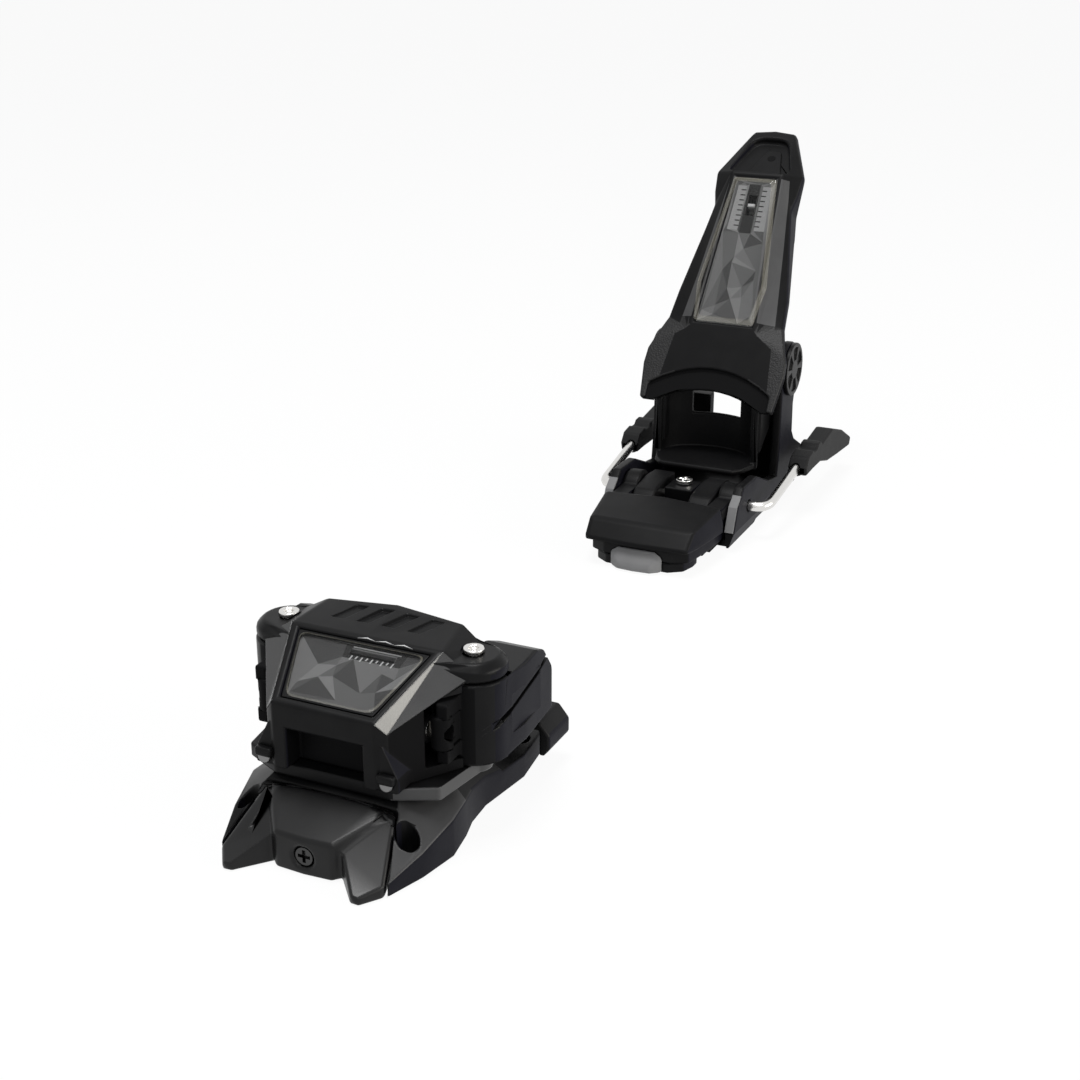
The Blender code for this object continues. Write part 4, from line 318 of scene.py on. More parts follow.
def prism(outline, low, high, place=Matrix.Identity(4), axes="XYZ"):
    """Closed outline drawn out from low to high along the last of its axes, then put in place."""
    order = ["XYZ".index(letter) for letter in axes]
    bm = bmesh.new()
    rings = []
    for level in (low, high):
        ring = []
        for a, b in outline:
            point = Vector()
            point[order[0]], point[order[1]], point[order[2]] = a, b, level
            ring.append(bm.verts.new(point))
        rings.append(ring)
    bm.faces.new(rings[0])
    bm.faces.new(rings[1])
    count = len(outline)
    for i in range(count):
        j = (i + 1) % count
        bm.faces.new((rings[0][i], rings[0][j], rings[1][j], rings[1][i]))
    bmesh.ops.recalc_face_normals(bm, faces=bm.faces)
    bm.transform(place)
    return bm


def rectangle(x_span, v_span):
    """Four corners between two spans."""
    (x0, x1), (v0, v1) = x_span, v_span
    return ((x0, v0), (x1, v0), (x1, v1), (x0, v1))


def block(x_span, y_span, z_span, place=Matrix.Identity(4)):
    """Box between three spans."""
    return prism(rectangle(x_span, y_span), *z_span, place)


def rounded(corners, radius, steps=5):
    """Outline through corners with each one rounded by an arc-like curve."""
    points = []
    count = len(corners)
    for i, corner in enumerate(corners):
        here = Vector(corner)
        before = Vector(corners[i - 1]) - here
        after = Vector(corners[(i + 1) % count]) - here
        reach = min(radius, before.length / 2, after.length / 2)
        first = here + before.normalized() * reach
        last = here + after.normalized() * reach
        for step in range(steps + 1):
            share = step / steps
            points.append(tuple(first.lerp(here, share).lerp(here.lerp(last, share), share)))
    return points


def arc(centre, radius, start, end, steps):
    """Points at even angles about a centre, from one angle to the other."""
    points = []
    for step in range(steps + 1):
        angle = math.radians(start + (end - start) * step / steps)
        points.append((centre[0] + radius * math.cos(angle), centre[1] + radius * math.sin(angle)))
    return points


def circle(centre, radius, count):
    """Closed ring of points."""
    return arc(centre, radius, 0, 360 * (count - 1) / count, count - 1)


def mirrored(span, side):
    """A span across the ski, on the right or on the left."""
    return sorted((side * span[0], side * span[1]))


def side_name(side):
    """Word for a side: 1 is right and -1 is left."""
    return "right" if side > 0 else "left"


def trapezoid(start, length, halves, inset=0.0):
    """Four corners of a window that narrows or widens evenly, drawn in by an inset."""
    low, high = halves[0] - inset, halves[1] - inset
    return ((-low, start + inset), (low, start + inset),
            (high, start + length - inset), (-high, start + length - inset))


def combine(obj, tools, operation):
    """Join tools to an object, or cut them from it, one after another."""
    for bm in tools:
        tool = make_object("tool", bm, None)
        modifier = obj.modifiers.new("combine", "BOOLEAN")
        modifier.operation = operation
        modifier.object = tool
        apply_modifiers(obj)
        mesh = tool.data
        bpy.data.objects.remove(tool)
        bpy.data.meshes.remove(mesh)
    return obj


def apply_modifiers(obj):
    """Replace an object's mesh by what its modifiers make of it."""
    graph = bpy.context.evaluated_depsgraph_get()
    mesh = bpy.data.meshes.new_from_object(obj.evaluated_get(graph))
    old = obj.data
    obj.modifiers.clear()
    obj.data = mesh
    bpy.data.meshes.remove(old)


def room_beside(edge):
    """How wide an edge may be rounded before it meets the far end of a neighbouring edge."""
    room = math.inf
    for loop in edge.link_loops:
        following = loop.link_loop_next
        corners = ((loop.link_loop_prev.vert, loop.vert, following.vert),
                   (following.link_loop_next.vert, following.vert, loop.vert))
        for near, here, far in corners:
            side = near.co - here.co
            along = far.co - here.co
            if side.length < 1e-7 or along.length < 1e-7:
                continue
            angle = side.angle(along)
            if math.radians(25) < angle < math.radians(155):
                room = min(room, side.length * math.sin(angle))
    return 0.42 * room


def soften(obj, width, segments=2, sharp=math.radians(20)):
    """Round the sharp edges, each by the width or by what its neighbours leave."""
    bm = bmesh.new()
    bm.from_mesh(obj.data)
    bmesh.ops.remove_doubles(bm, verts=bm.verts, dist=MERGE)
    bmesh.ops.dissolve_limit(bm, angle_limit=math.radians(0.8), verts=bm.verts, edges=bm.edges)
    weight = bm.edges.layers.float.new("bevel_weight_edge")
    for edge in bm.edges:
        if len(edge.link_faces) == 2 and edge.calc_face_angle() > sharp:
            edge[weight] = min(1.0, room_beside(edge) / width)
    bm.to_mesh(obj.data)
    surface = BVHTree.FromBMesh(bm)
    bm.free()
    bevel = obj.modifiers.new("soften", "BEVEL")
    bevel.limit_method = "WEIGHT"
    bevel.width = width
    bevel.segments = segments
    bevel.use_clamp_overlap = False
    apply_modifiers(obj)
    for vert in obj.data.vertices:
        spot, _, _, distance = surface.find_nearest(vert.co)
        if distance > 0.5 * width:
            vert.co = spot
    obj.data.shade_smooth()
    obj.data.set_sharp_from_angle(angle=math.radians(40))
    obj.modifiers.new("flatten", "WEIGHTED_NORMAL").keep_sharp = True
    return obj


def copy_of(node, name, material):
    """A free copy of a solid's mesh, its corners merged."""
    mesh = NODES[node].data.copy()
    bm = bmesh.new()
    bm.from_mesh(mesh)
    bpy.data.meshes.remove(mesh)
    bmesh.ops.remove_doubles(bm, verts=bm.verts, dist=MERGE)
    for face in bm.faces:
        face.material_index = 0
    return make_object(name, bm, material)


def place(piece, body, slot, *nodes):
    """Ride on a body and stand for the named solids; the slot is not used."""
    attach(piece, body)
    if nodes:
        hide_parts(*nodes)
    return piece


def paint(obj, rule):
    """Give faces other materials: the rule returns a material's name, or None, for a centre and normal."""
    names = [slot.name for slot in obj.data.materials]
    for face in obj.data.polygons:
        wanted = rule(face.center, face.normal)
        if not wanted:
            continue
        material = MATERIALS[wanted]
        if material.name not in names:
            obj.data.materials.append(material)
            names.append(material.name)
        face.material_index = names.index(material.name)
    return obj


def split(obj, planes):
    """Part the faces along planes, so that a finish may end there."""
    bm = bmesh.new()
    bm.from_mesh(obj.data)
    for spot, normal in planes:
        everything = [*bm.verts, *bm.edges, *bm.faces]
        bmesh.ops.bisect_plane(bm, geom=everything, plane_co=spot, plane_no=normal, dist=1e-7)
    bm.to_mesh(obj.data)
    bm.free()


def skin(node, body, width, material="satin", slot="black_plastic", adds=(), cuts=(), rule=None,
         segments=2, planes=()):
    """Finished shell over a solid: its own shape with detail cut and added, its edges rounded."""
    obj = copy_of(node, f"{node}_shell", material)
    combine(obj, adds, "UNION")
    combine(obj, cuts, "DIFFERENCE")
    soften(obj, width, segments)
    split(obj, planes)
    if rule:
        paint(obj, rule)
    return place(obj, body, slot, node)


def dark_sides(_, normal):
    """Painted light and shade: a duller finish with painted cool light on the left and right sides, and
    painted shade in deep black underneath.
    """
    if abs(normal.x) > 0.87:
        return "side"
    if normal.z < -0.3:
        return "inner"
    return None


# Windows and what is printed under them


def ring(outer, inner, low, high, frame):
    """Flat frame between two outlines of equal count."""
    bm = bmesh.new()
    loops = []
    for outline, level in ((outer, low), (outer, high), (inner, high), (inner, low)):
        loops.append([bm.verts.new((x, v, level)) for x, v in outline])
    count = len(outer)
    for k in range(4):
        for i in range(count):
            j = (i + 1) % count
            bm.faces.new((loops[k][i], loops[k][j], loops[(k + 1) % 4][j], loops[(k + 1) % 4][i]))
    bmesh.ops.recalc_face_normals(bm, faces=bm.faces)
    bm.transform(frame)
    return bm


def shrunk(corners, inset):
    """Outline drawn in by about the same amount on every side."""
    low = min(v for _, v in corners) + inset
    high = max(v for _, v in corners) - inset
    return [(x - math.copysign(inset, x), min(max(v, low), high)) for x, v in corners]


def lens(name, corners, radius, frame, body, node, levels, inset):
    """Clear cover: straight walls from the first level to the second, then a bevel up to the third, both in
    pale tones that paint highlights on the edges.
    """
    foot, brim, crown = levels
    wall = rounded(corners, radius)
    top = rounded(shrunk(corners, inset), radius)
    bm = bmesh.new()
    loops = []
    for outline, level in ((wall, foot), (wall, brim), (top, crown)):
        loops.append([bm.verts.new((x, v, level)) for x, v in outline])
    bm.faces.new(loops[0])
    bm.faces.new(loops[2])
    count = len(wall)
    for level in (1, 2):
        lower, upper = loops[level - 1], loops[level]
        for i in range(count):
            j = (i + 1) % count
            bm.faces.new((lower[i], lower[j], upper[j], upper[i])).material_index = level
    bmesh.ops.recalc_face_normals(bm, faces=bm.faces)
    bm.transform(frame)
    cover = make_object(f"{name}_lens", bm, "clear")
    # Walls and bevel take pale materials that paint highlights on the lens's edges
    cover.data.materials.append(MATERIALS["lens_wall_highlight"])
    cover.data.materials.append(MATERIALS["lens_bevel_highlight"])
    place(cover, body, "clear_plastic", node)


def inside(point, outline):
    """True where a point lies within a convex outline."""
    turns = []
    for i, corner in enumerate(outline):
        following = outline[(i + 1) % len(outline)]
        edge = Vector(following) - Vector(corner)
        turns.append(edge.cross(Vector(point) - Vector(corner)) > 0)
    return all(turns) or not any(turns)


def facet_sheet(name, outline, seeds, gaps, level, frame, body, slot):
    """Printed sheet of flat-toned triangles between seed points, with openings left out."""
    points = [Vector(p) for p in outline]
    edges = [(i, (i + 1) % len(outline)) for i in range(len(outline))]
    for gap in gaps:
        first = len(points)
        points += [Vector(p) for p in gap]
        edges += [(first + i, first + (i + 1) % len(gap)) for i in range(len(gap))]
    for seed in seeds:
        if inside(seed, outline) and not any(inside(seed, gap) for gap in gaps):
            points.append(Vector(seed))
    places, _, faces, *_ = delaunay_2d_cdt(points, edges, [], 1, 1e-7)
    bm = bmesh.new()
    verts = [bm.verts.new((p.x, p.y, level)) for p in places]
    for count, face in enumerate(faces):
        centre = sum((places[i] for i in face), Vector((0, 0))) / len(face)
        if any(inside(centre, gap) for gap in gaps):
            continue
        made = bm.faces.new([verts[i] for i in face])
        made.material_index = (count * 7 + int(centre.x / (3 * MM)) + int(centre.y / (4 * MM))) % len(GREYS)
    bmesh.ops.recalc_face_normals(bm, faces=bm.faces)
    bm.transform(frame)
    sheet = make_object(name, bm, None)
    for step in range(len(GREYS)):
        sheet.data.materials.append(MATERIALS[f"label_{step}"])
    return place(sheet, body, slot)


def patch(name, outline, low, high, frame, material, body, slot):
    """Thin printed or moulded patch between two levels over a plane."""
    return place(make_object(name, prism(outline, low, high, frame), material), body, slot)


def ink(name, outline, frame, material, body, slot):
    """Mark printed on the plate under a window."""
    return patch(name, outline, PRINT_LEVEL, PRINT_LEVEL + INK, frame, material, body, slot)


def slot_border(name, outline, hole, frame, body):
    """Black border round the slot that the pointer shows in."""
    border = ring(outline, hole, -PLATE_DROP, PRINT_LEVEL, frame)
    place(make_object(name, border, "slot"), body, "black_plastic")


def seed_grid(x_span, v_span, step):
    """Points in offset rows, pushed off the grid by a fixed wave."""
    seeds = []
    push = 0.34 * step
    rows = int((v_span[1] - v_span[0]) / step)
    columns = int((x_span[1] - x_span[0]) / step)
    for row in range(rows + 1):
        for column in range(columns + 1):
            sway = push * math.sin(2.3 * row + 4.1 * column)
            rise = push * math.sin(3.7 * row + 1.9 * column + 1)
            shift = 0.5 * step * (row % 2)
            seeds.append((x_span[0] + column * step + shift + sway, v_span[0] + row * step + rise))
    return seeds


# Toe piece


def toe_lens():
    """Lens in its frame, with three painted glints along the brow above it."""
    corners = trapezoid(0.0, TOE_WINDOW_LENGTH, TOE_WINDOW_HALF, 0.35 * MM)
    inner = shrunk(corners, LENS_FRAME)
    levels = (-LENS_THICKNESS, -0.45 * MM, -0.05 * MM)
    lens("toe", inner, TOE_LENS_CORNER, TOE_FACE, "frame", "toe_window", levels, 0.5 * MM)
    rim = ring(rounded(corners, 0.2 * MM), rounded(inner, TOE_LENS_CORNER),
               -LENS_THICKNESS - 0.2 * MM, -0.5 * MM, TOE_FACE)
    place(make_object("toe_lens_frame", rim, "satin"), "frame", "black_plastic")
    # Painted highlight: three pale crescents stand for light glinting along the lens's top edge
    for count in range(3):
        x = -2.5 + 6.8 * count
        glint = mm((x, 27.7), (x + 3.4, 28.2), (x + 6.8, 27.7), (x + 3.4, 28.6))
        patch(f"toe_brow_painted_glint_{count}", glint, -0.2 * MM, 0.12 * MM, TOE_FACE, "edge", "frame",
              "clear_plastic")


def toe_print():
    """Printed sheet under the toe's lens, with a slot for the pointer and a row of ticks."""
    slot = mm((-5.2, 20.6), (15.8, 20.6), (16.6, 26.0), (-6.0, 26.0))
    seeds = seed_grid((-21 * MM, 23 * MM), (3 * MM, 25 * MM), 7.5 * MM)
    sheet = trapezoid(0.0, TOE_WINDOW_LENGTH, TOE_WINDOW_HALF, 0.5 * MM)
    facet_sheet("toe_label", sheet, seeds, [slot], SHEET_LEVEL, TOE_FACE, "frame", "grey_print")
    hole = rectangle(*mm((-3.4, 13.3), (22.0, 24.9)))
    slot_border("toe_slot_border", slot, hole, TOE_FACE, "frame")
    foot, width, lean = 21.9, 0.5, 0.35
    for count in range(9):
        x = -2.6 + 1.9 * count
        start = foot - (1.1 if count % 2 else 1.8)
        tick = mm((x, start), (x + width, start), (x + width + lean, foot), (x + lean, foot))
        ink(f"toe_tick_{count}", tick, TOE_FACE, "white", "frame", "white_plastic")
    bar = rectangle(*mm((-3.2, 14.5), (25.1, 25.6)))
    ink("toe_slot_bar", bar, TOE_FACE, "scale", "frame", "grey_print")


def rim_notches():
    """Slanting notches of even depth across the raised rear rim."""
    tools = []
    # Each notch shifts across and climbs as it runs back
    lean = Matrix.Identity(4)
    lean[0][1] = 0.45
    lean[2][1] = 0.12
    for count in range(4):
        x = -17.5 + 9.6 * count
        section = mm((x, 64.7), (x + 4.4, 64.7), (x + 5.2, 70), (x - 0.8, 70))
        tools.append(prism(section, -0.5 * MM, 9.0 * MM, lean, "XZY"))
    return tools


def wing_groove(side):
    """Groove that climbs along the outer flank of a wing."""
    outline = mm((-9, 39.0), (46, 51.2), (46, 53.0), (-9, 40.8))
    return prism(outline, *mirrored((44.4 * MM, 60 * MM), side), axes="YZX")


def wing_flank(side):
    """Broad flank that closes the wing's side pocket."""
    return block(mirrored((42 * MM, 46.4 * MM), side), (3 * MM, 26 * MM), (33 * MM, 49 * MM))


def prong_groove():
    """Slot down the left prong of the nose cover."""
    along = Vector((-23.2, -57, 0)) - Vector((-19.6, -38, 0))
    turn = math.atan2(along.y, along.x)
    spot = Matrix.Translation((-21.4 * MM, -47.5 * MM, 0)) @ Matrix.Rotation(turn, 4, "Z")
    return [block((-7.5 * MM, 7.5 * MM), (-0.8 * MM, 0.8 * MM), (9.6 * MM, 30 * MM), spot)]


def plate(name, corners, thickness, outward, material, body, slot):
    """Thin plate on four corners, raised toward a direction."""
    bm = bmesh.new()
    points = [Vector(corner) for corner in corners]
    normal = (points[2] - points[0]).cross(points[3] - points[1]).normalized()
    if normal.dot(Vector(outward)) < 0:
        normal.negate()
    lower = [bm.verts.new(point - normal * 0.3 * MM) for point in points]
    upper = [bm.verts.new(point + normal * thickness) for point in points]
    bm.faces.new(lower)
    bm.faces.new(upper)
    for i in range(4):
        j = (i + 1) % 4
        bm.faces.new((lower[i], lower[j], upper[j], upper[i]))
    bmesh.ops.recalc_face_normals(bm, faces=bm.faces)
    return place(make_object(name, bm, material), body, slot)


def toe_side_strip(side):
    """Glossy chamfer beside the window, from the front corner up to the ear."""
    corners = [(side * x, y, z) for x, y, z in TOE_CHAMFER]
    plate(f"toe_side_strip_{side_name(side)}", corners, 0.15 * MM, (side, -0.5, 0.4), "gloss", "frame",
          "black_plastic")


def housing_finish(centre, normal):
    """Painted shade, in deep black, in the side pockets, the arch and the rim's notches; elsewhere the
    sides' painted cool light and the painted shade underneath.
    """
    if abs(centre.x) > POCKET_INNER and POCKET_SPAN[0] < centre.y < POCKET_SPAN[1] and centre.z < POCKET_TOP:
        return "inner"
    if centre.y > ARCH_FRONT and abs(centre.x) < ARCH_HALF and centre.z < ARCH_TOP:
        return "inner"
    if centre.y > RIM_FRONT and centre.z > RIM_FOOT and abs(normal.x) > 0.45:
        return "inner"
    return dark_sides(centre, normal)


def wing_finish(centre, normal):
    """Painted shade, in deep black, on the claw that reaches in to the spring; elsewhere the sides' painted
    cool light and the painted shade underneath.
    """
    if centre.y < CLAW_BACK:
        return "inner"
    return dark_sides(centre, normal)


def base_finish(centre, normal):
    """Painted highlight, as a greyer top, on the right shoulder's facets; a greyer deck edge on the right;
    elsewhere the sides' painted cool light and the painted shade underneath.
    """
    on_shoulder = SHOULDER_SPAN[0] < centre.y < SHOULDER_SPAN[1] and centre.z < SHOULDER_TOP
    # Painted highlight on the shoulder's upward facets
    if normal.z > 0.5 and centre.x > SHOULDER_INNER and on_shoulder:
        return "shoulder_highlight"
    if SHOULDER_TOP < centre.z < DECK_TOP and normal.x > 0.3 and centre.y < DECK_BACK:
        return "strip"
    return dark_sides(centre, normal)


def rivet_hood(side):
    """Lip of the housing over the upper half of a foot rivet."""
    low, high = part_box(f"foot_rivet_{side}")
    middle = (low[2] + high[2]) / 2
    bm = block((low[0] - 0.8 * MM, high[0] + 0.8 * MM), (low[1] - 0.7 * MM, low[1] + 4 * MM),
               (middle + 0.3 * MM, high[2] + 1.2 * MM))
    hood = make_object(f"rivet_hood_{side}", bm, "satin")
    soften(hood, 0.8 * MM, 3)
    place(hood, "frame", "black_plastic")


def dress_toe():
    """Shells and trim of the toe piece."""
    skin("toe_base", "frame", 0.8 * MM, rule=base_finish)
    skin("toe_nose_cover", "frame", 1.5 * MM, "sheen", cuts=prong_groove(), segments=3)
    skin("toe_housing", "frame", 0.9 * MM, cuts=rim_notches(), rule=housing_finish)
    for side, sign in SIDES:
        skin(f"wing_{side}", f"wing_{side}", 1.2 * MM, adds=[wing_flank(sign)], cuts=[wing_groove(sign)],
             rule=wing_finish, segments=3)
        toe_side_strip(sign)
        skin(f"wing_pin_{side}", "frame", 0.4 * MM, "steel", "bright_steel")
        skin(f"foot_rivet_{side}", "frame", 0.4 * MM, "darker_steel", "bright_steel")
        rivet_hood(side)
        # Painted shade: the plunger, in the shaded side pocket, takes the deep black of shade
        skin(f"toe_plunger_{side}", f"toe_plunger_{side}", 0.4 * MM, "inner")
    skin("afd_slider", "afd_slider", 1.0 * MM, rule=dark_sides)
    # Painted shade: the carrier under the slider takes the deep black of shade
    skin("afd_carrier", "afd_carrier", 0.5 * MM, "inner")
    toe_lens()
    toe_print()


# Heel piece


def lever_finish(centre, normal):
    """Finish of the lever's faces by where they lie on its front face: painted shade in the jaw's recess and
    on faces turned down, pebbled grain, grey strips, and painted cool light on the sides.
    """
    spot = HEEL_FACE.inverted() @ centre
    facing = HEEL_FACE.to_3x3().inverted() @ normal
    if spot.y < JAW_TOP and spot.z < JAW_DEPTH:
        return "inner"
    if facing.z < -0.2:
        return "inner"
    if spot.y < GRAIN_TOP and abs(spot.x) > GRAIN_INNER and facing.z > 0.3:
        return "grain"
    if STRIP_ENDS[0] < spot.y < STRIP_ENDS[1] and 0.35 < facing.z < 0.97 and spot.z > STRIP_DEPTH:
        (x0, v0), (x1, v1) = STRIP_LINES[0 if spot.x > 0 else 1]
        if abs(spot.x) < abs(x0 + (x1 - x0) * (spot.y - v0) / (v1 - v0)):
            return "strip"
    # Painted cool light on the lever's sides
    return "side" if abs(normal.x) > 0.8 else None


def lever_tip_frame():
    """Plane of the lever's bent tip."""
    start = HEEL_FACE @ Vector((0, TIP_START, 0))
    end = HEEL_FACE @ Vector((0, *TIP_END))
    along = (end - start).normalized()
    across = Vector((1, 0, 0))
    turn = Matrix((across, along, across.cross(along))).transposed().to_4x4()
    return Matrix.Translation(start) @ turn


def strip_planes():
    """Planes that bound the grey strips beside the long window."""
    turn = HEEL_FACE.to_3x3()
    planes = [(HEEL_FACE @ Vector((0, v, 0)), turn @ Vector((0, 1, 0))) for v in STRIP_ENDS]
    for start, end in STRIP_LINES:
        along = Vector(end) - Vector(start)
        planes.append((HEEL_FACE @ Vector((*start, 0)), turn @ Vector((along.y, -along.x, 0))))
    return planes


def tip_recess():
    """Field sunk inside the raised rim of the tip."""
    outline = mm((-16.5, 1.5), (16.5, 1.5), (8.2, 26.5), (-8.2, 26.5))
    return prism(rounded(outline, 5 * MM), -3.2 * MM, 12 * MM, lever_tip_frame())


def tip_wedge():
    """Raised panel in the sunk field, with a small spot for the pole's point."""
    frame = lever_tip_frame()
    outline = mm((-6, 1.6), (11, 1.6), (6.5, 20), (-0.5, 20))
    panel = make_object("tip_panel", prism(rounded(outline, 2 * MM), -3.6 * MM, -2.0 * MM, frame), "matt")
    soften(panel, 0.5 * MM)
    place(panel, "heel_housing", "black_plastic")
    # Painted shade: the spot takes the deep black, darker than its up-facing place would be lit
    spot = circle((3 * MM, 14 * MM), 2 * MM, 16)
    patch("tip_spot", spot, -2.4 * MM, -1.9 * MM, frame, "inner", "heel_housing", "black_plastic")


def heel_scale(side, outline):
    """Pale scale beside the pointer's slot, with a column of ticks along its inner edge."""
    patch(f"heel_scale_{side}", outline, -PLATE_DROP, PRINT_LEVEL, HEEL_FACE, "scale", "heel_housing",
          "grey_print")
    near = outline[0][0]
    x_span = sorted((near, near + math.copysign(2.4 * MM, near)))
    for count in range(8):
        v = (93.5 + 2.7 * count) * MM
        tick = rectangle(x_span, (v, v + 0.6 * MM))
        ink(f"heel_tick_{side}_{count}", tick, HEEL_FACE, "slot", "heel_housing", "black_plastic")


def dress_heel_window():
    """Lens, printed sheet, pointer slot, scales and pointer of the lever's window."""
    levels = (-LENS_THICKNESS, 0.15 * MM, 1.0 * MM)
    lens("heel", HEEL_SHIELD, HEEL_LENS_CORNER, HEEL_FACE, "heel_housing", "heel_window", levels, 2.2 * MM)
    slot = rectangle(*mm((-3.0, 3.0), (90, 116)))
    scales = []
    for _, sign in SIDES:
        inner, outer, top = sign * 4.2, sign * 9.6, sign * 8.6
        scales.append(mm((inner, 91.5), (outer, 91.5), (top, 115), (inner, 115)))
    seeds = seed_grid((-13 * MM, 13 * MM), (46 * MM, 116 * MM), 8.5 * MM)
    sheet = trapezoid(HEEL_WINDOW_V, HEEL_WINDOW_LENGTH, HEEL_WINDOW_HALF, 0.5 * MM)
    facet_sheet("heel_label", sheet, seeds, [slot, *scales], SHEET_LEVEL, HEEL_FACE, "heel_housing",
                "grey_print")
    hole = rectangle(*mm((-2.3, 2.3), (99.4, 110.6)))
    slot_border("heel_slot_border", slot, hole, HEEL_FACE, "heel_housing")
    for (side, _), outline in zip(SIDES, scales):
        heel_scale(side, outline)
    flag = rectangle(*mm((-1.6, 1.6), (104.4, 105.6)))
    patch("heel_pointer_flag", flag, -2.15 * MM, -1.95 * MM, HEEL_FACE, "white", "heel_indicator",
          "white_plastic")


def side_piece(name, outline, span, side, material):
    """Piece with one outline along the ski, over a span on one side."""
    bm = prism(outline, *mirrored(span, side), axes="YZX")
    return make_object(f"{name}_{side_name(side)}", bm, material)


def brake_hub_cover(side):
    """Rounded cover over a pedal lug, swept about the brake's axis so that it clears as it swings."""
    outline = mm((262.5, 15), (262.5, 20.5))
    outline += arc(BRAKE_AXIS, HUB_RADIUS, 150, 45, 7)
    outline.append((BRAKE_AXIS[0] + 1 * MM, BRAKE_AXIS[1] - 1 * MM))
    cover = side_piece("brake_hub_cover", outline, HUB_SPAN, side, "matt")
    soften(cover, 1.6 * MM, 3)
    place(cover, "brake", "black_plastic")


def hub_hollows():
    """Hollows in the brake's base that let the pedal's hubs turn."""
    outline = circle(BRAKE_AXIS, HOLLOW_RADIUS, 32)
    return [prism(outline, *mirrored(HOLLOW_SPAN, side), axes="YZX") for side in (-1, 1)]


def heel_apron(side):
    """Sloping floor between the brake's boss and the cup, beside the spring."""
    outline = mm((267, 13), (268, 19.5), (272, 22.6), (286, 24.6), (299, 23.6), (299, 13))
    apron = side_piece("heel_apron", outline, APRON_SPAN, side, "matt")
    soften(apron, 1.2 * MM, 3)
    place(apron, "heel_carriage", "black_plastic")


def cheek_trim(side):
    """Grey plate on the front edge of a carriage cheek."""
    outline = mm((264.2, 10), (268.9, 21), (274.4, 25.2), (274.9, 24.6), (269.5, 20.6), (264.8, 9.8))
    trim = side_piece("cheek_trim", outline, TRIM_SPAN, side, "grey")
    place(trim, "heel_carriage", "grey_plastic")


def dress_heel():
    """Shells and trim of the heel piece and the brake."""
    skin("heel_housing", "heel_housing", 1.3 * MM, "matt", cuts=[tip_recess()], rule=lever_finish,
         segments=3, planes=strip_planes())
    tip_wedge()
    skin("heel_cup", "heel_housing", 1.0 * MM, "matt")
    skin("heel_carriage", "heel_carriage", 1.0 * MM, "matt", rule=dark_sides)
    skin("brake_base", "heel_carriage", 0.8 * MM, cuts=hub_hollows(), rule=dark_sides)
    skin("brake_chin", "heel_carriage", 1.2 * MM, "grey", "grey_plastic")
    skin("brake_pedal", "brake", 2.2 * MM, "matt", rule=dark_sides, segments=4)
    for side, sign in SIDES:
        skin(f"pivot_cap_{side}", "heel_carriage", 0.3 * MM, "satin")
        skin(f"brake_shoe_{side}", "brake", 1.2 * MM, "rubber", "black_rubber", segments=3)
        skin(f"brake_arm_{side}", "brake", 0.6 * MM, "steel", "bright_steel")
        brake_hub_cover(sign)
        heel_apron(sign)
        cheek_trim(sign)
    skin("brake_screw", "heel_carriage", 0.3 * MM, "steel", "bright_steel")
    dress_heel_window()


def dress_plain_solids():
    """Solids that keep their own mesh get a finish to suit."""
    finishes = {
        "label_2": ("toe_scale_plate", "heel_scale_plate"),
        "white": ("toe_indicator", "heel_indicator"),
        "grey": ("afd_wedge",),
        # Painted shade: the track and the toe's spring, deep inside, take the deep black of shade
        "inner": ("heel_track", "toe_spring"),
        "spring": ("heel_spring", "brake_spring"),
        "dark_steel": ("afd_height_screw",),
        "steel": ("toe_tension_screw", "length_screw", "heel_axle", "heel_cam", "heel_piston",
                  "heel_tension_screw", "brake_axle"),
    }
    for finish, nodes in finishes.items():
        for node in nodes:
            mesh = NODES[node].data
            mesh.materials.clear()
            mesh.materials.append(MATERIALS[finish])


# Stage


def area_light(name, target, direction, distance, size, power, colour=(1, 1, 1)):
    """Rectangular lamp that faces a target from a direction and a distance."""
    data = bpy.data.lights.new(name, "AREA")
    data.shape = "RECTANGLE"
    data.size, data.size_y = size
    data.energy = power
    data.color = colour
    lamp = bpy.data.objects.new(name, data)
    away = Vector(direction).normalized()
    lamp.location = Vector(target) + away * distance
    lamp.rotation_euler = away.to_track_quat("Z", "Y").to_euler()
    bpy.context.scene.collection.objects.link(lamp)
    return lamp


def white_where_seen(tree, shader, strength, kind="ShaderNodeEmission"):
    """Mix a plain white into a shader for camera, glossy and transmission rays."""
    path = tree.nodes.new("ShaderNodeLightPath")
    seen = path.outputs["Is Camera Ray"]
    for ray in ("Is Glossy Ray", "Is Transmission Ray"):
        either = tree.nodes.new("ShaderNodeMath")
        either.operation = "MAXIMUM"
        tree.links.new(seen, either.inputs[0])
        tree.links.new(path.outputs[ray], either.inputs[1])
        seen = either.outputs["Value"]
    share = tree.nodes.new("ShaderNodeMath")
    share.operation = "MULTIPLY"
    share.inputs[1].default_value = strength
    tree.links.new(seen, share.inputs[0])
    white = tree.nodes.new(kind)
    mix = tree.nodes.new("ShaderNodeMixShader")
    tree.links.new(share.outputs["Value"], mix.inputs["Fac"])
    tree.links.new(shader, mix.inputs[1])
    white.inputs["Color"].default_value = (1.0, 1.0, 1.0, 1.0)
    tree.links.new(white.outputs[0], mix.inputs[2])
    return mix.outputs["Shader"]


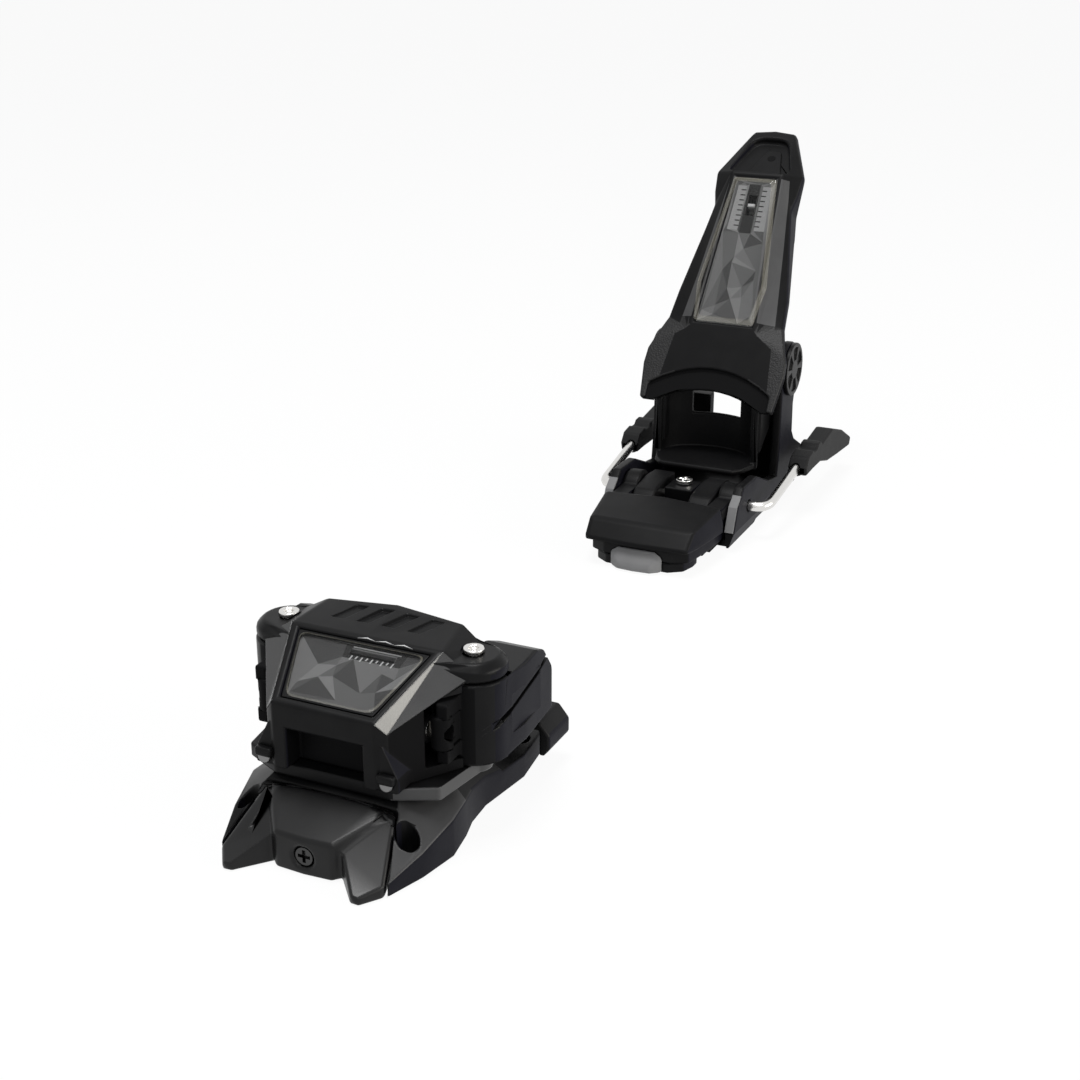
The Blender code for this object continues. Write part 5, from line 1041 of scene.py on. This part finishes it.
def make_floor():
    """Pale round floor that looks white wherever it is seen."""
    bm = bmesh.new()
    bmesh.ops.create_circle(bm, cap_ends=True, segments=64, radius=FLOOR_RADIUS)
    floor = make_object("floor", bm, None)
    material = bpy.data.materials.new("pale_floor")
    material.use_nodes = True
    tree = material.node_tree
    surface = tree.nodes["Principled BSDF"]
    surface.inputs["Base Color"].default_value = (0.9, 0.9, 0.9, 1.0)
    surface.inputs["Roughness"].default_value = 0.9
    output = tree.nodes["Material Output"]
    tree.links.new(white_where_seen(tree, surface.outputs["BSDF"], BACKDROP_WHITE), output.inputs["Surface"])
    floor.data.materials.append(material)


def make_sky():
    """Dim cool surroundings that look white wherever they are seen."""
    world = bpy.data.worlds.new("studio")
    world.use_nodes = True
    tree = world.node_tree
    dim = tree.nodes["Background"]
    dim.inputs["Color"].default_value = (0.9, 0.95, 1.0, 1.0)
    dim.inputs["Strength"].default_value = 0.22
    sky = white_where_seen(tree, dim.outputs["Background"], BACKDROP_WHITE, "ShaderNodeBackground")
    tree.links.new(sky, tree.nodes["World Output"].inputs["Surface"])
    bpy.context.scene.world = world


def make_lamps():
    """Soft lamp over the toe, a weak one in front and a warm panel on the right."""
    middle = (0, 0.14, 0.05)
    toe = (0, -0.045, 0.03)
    area_light("overhead", toe, (-0.07, 0.04, 0.98), 1.5, (0.5, 0.5), 18)
    area_light("front_fill", middle, (0.35, -0.8, 0.9), 1.6, (0.8, 0.5), 4)
    area_light("right_panel", middle, (0.955, 0.0, 0.28), 1.2, (1.0, 0.3), 10, (1.0, 0.97, 0.9))


def make_camera():
    """Camera at the photograph's place."""
    data = bpy.data.cameras.new("camera")
    data.lens = CAMERA_LENS
    data.sensor_width = SENSOR
    camera = bpy.data.objects.new("camera", data)
    camera.location = CAMERA_PLACE
    level = math.cos(CAMERA_PITCH)
    back = Vector((math.sin(CAMERA_YAW) * level, -math.cos(CAMERA_YAW) * level, math.sin(CAMERA_PITCH)))
    camera.rotation_euler = back.to_track_quat("Z", "Y").to_euler()
    data.clip_start = 0.01
    bpy.context.scene.collection.objects.link(camera)
    bpy.context.scene.camera = camera


def main():
    """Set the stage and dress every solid."""
    bpy.context.scene.view_settings.view_transform = "Standard"
    make_camera()
    make_floor()
    make_sky()
    make_lamps()
    dress_plain_solids()
    dress_toe()
    dress_heel()


main()
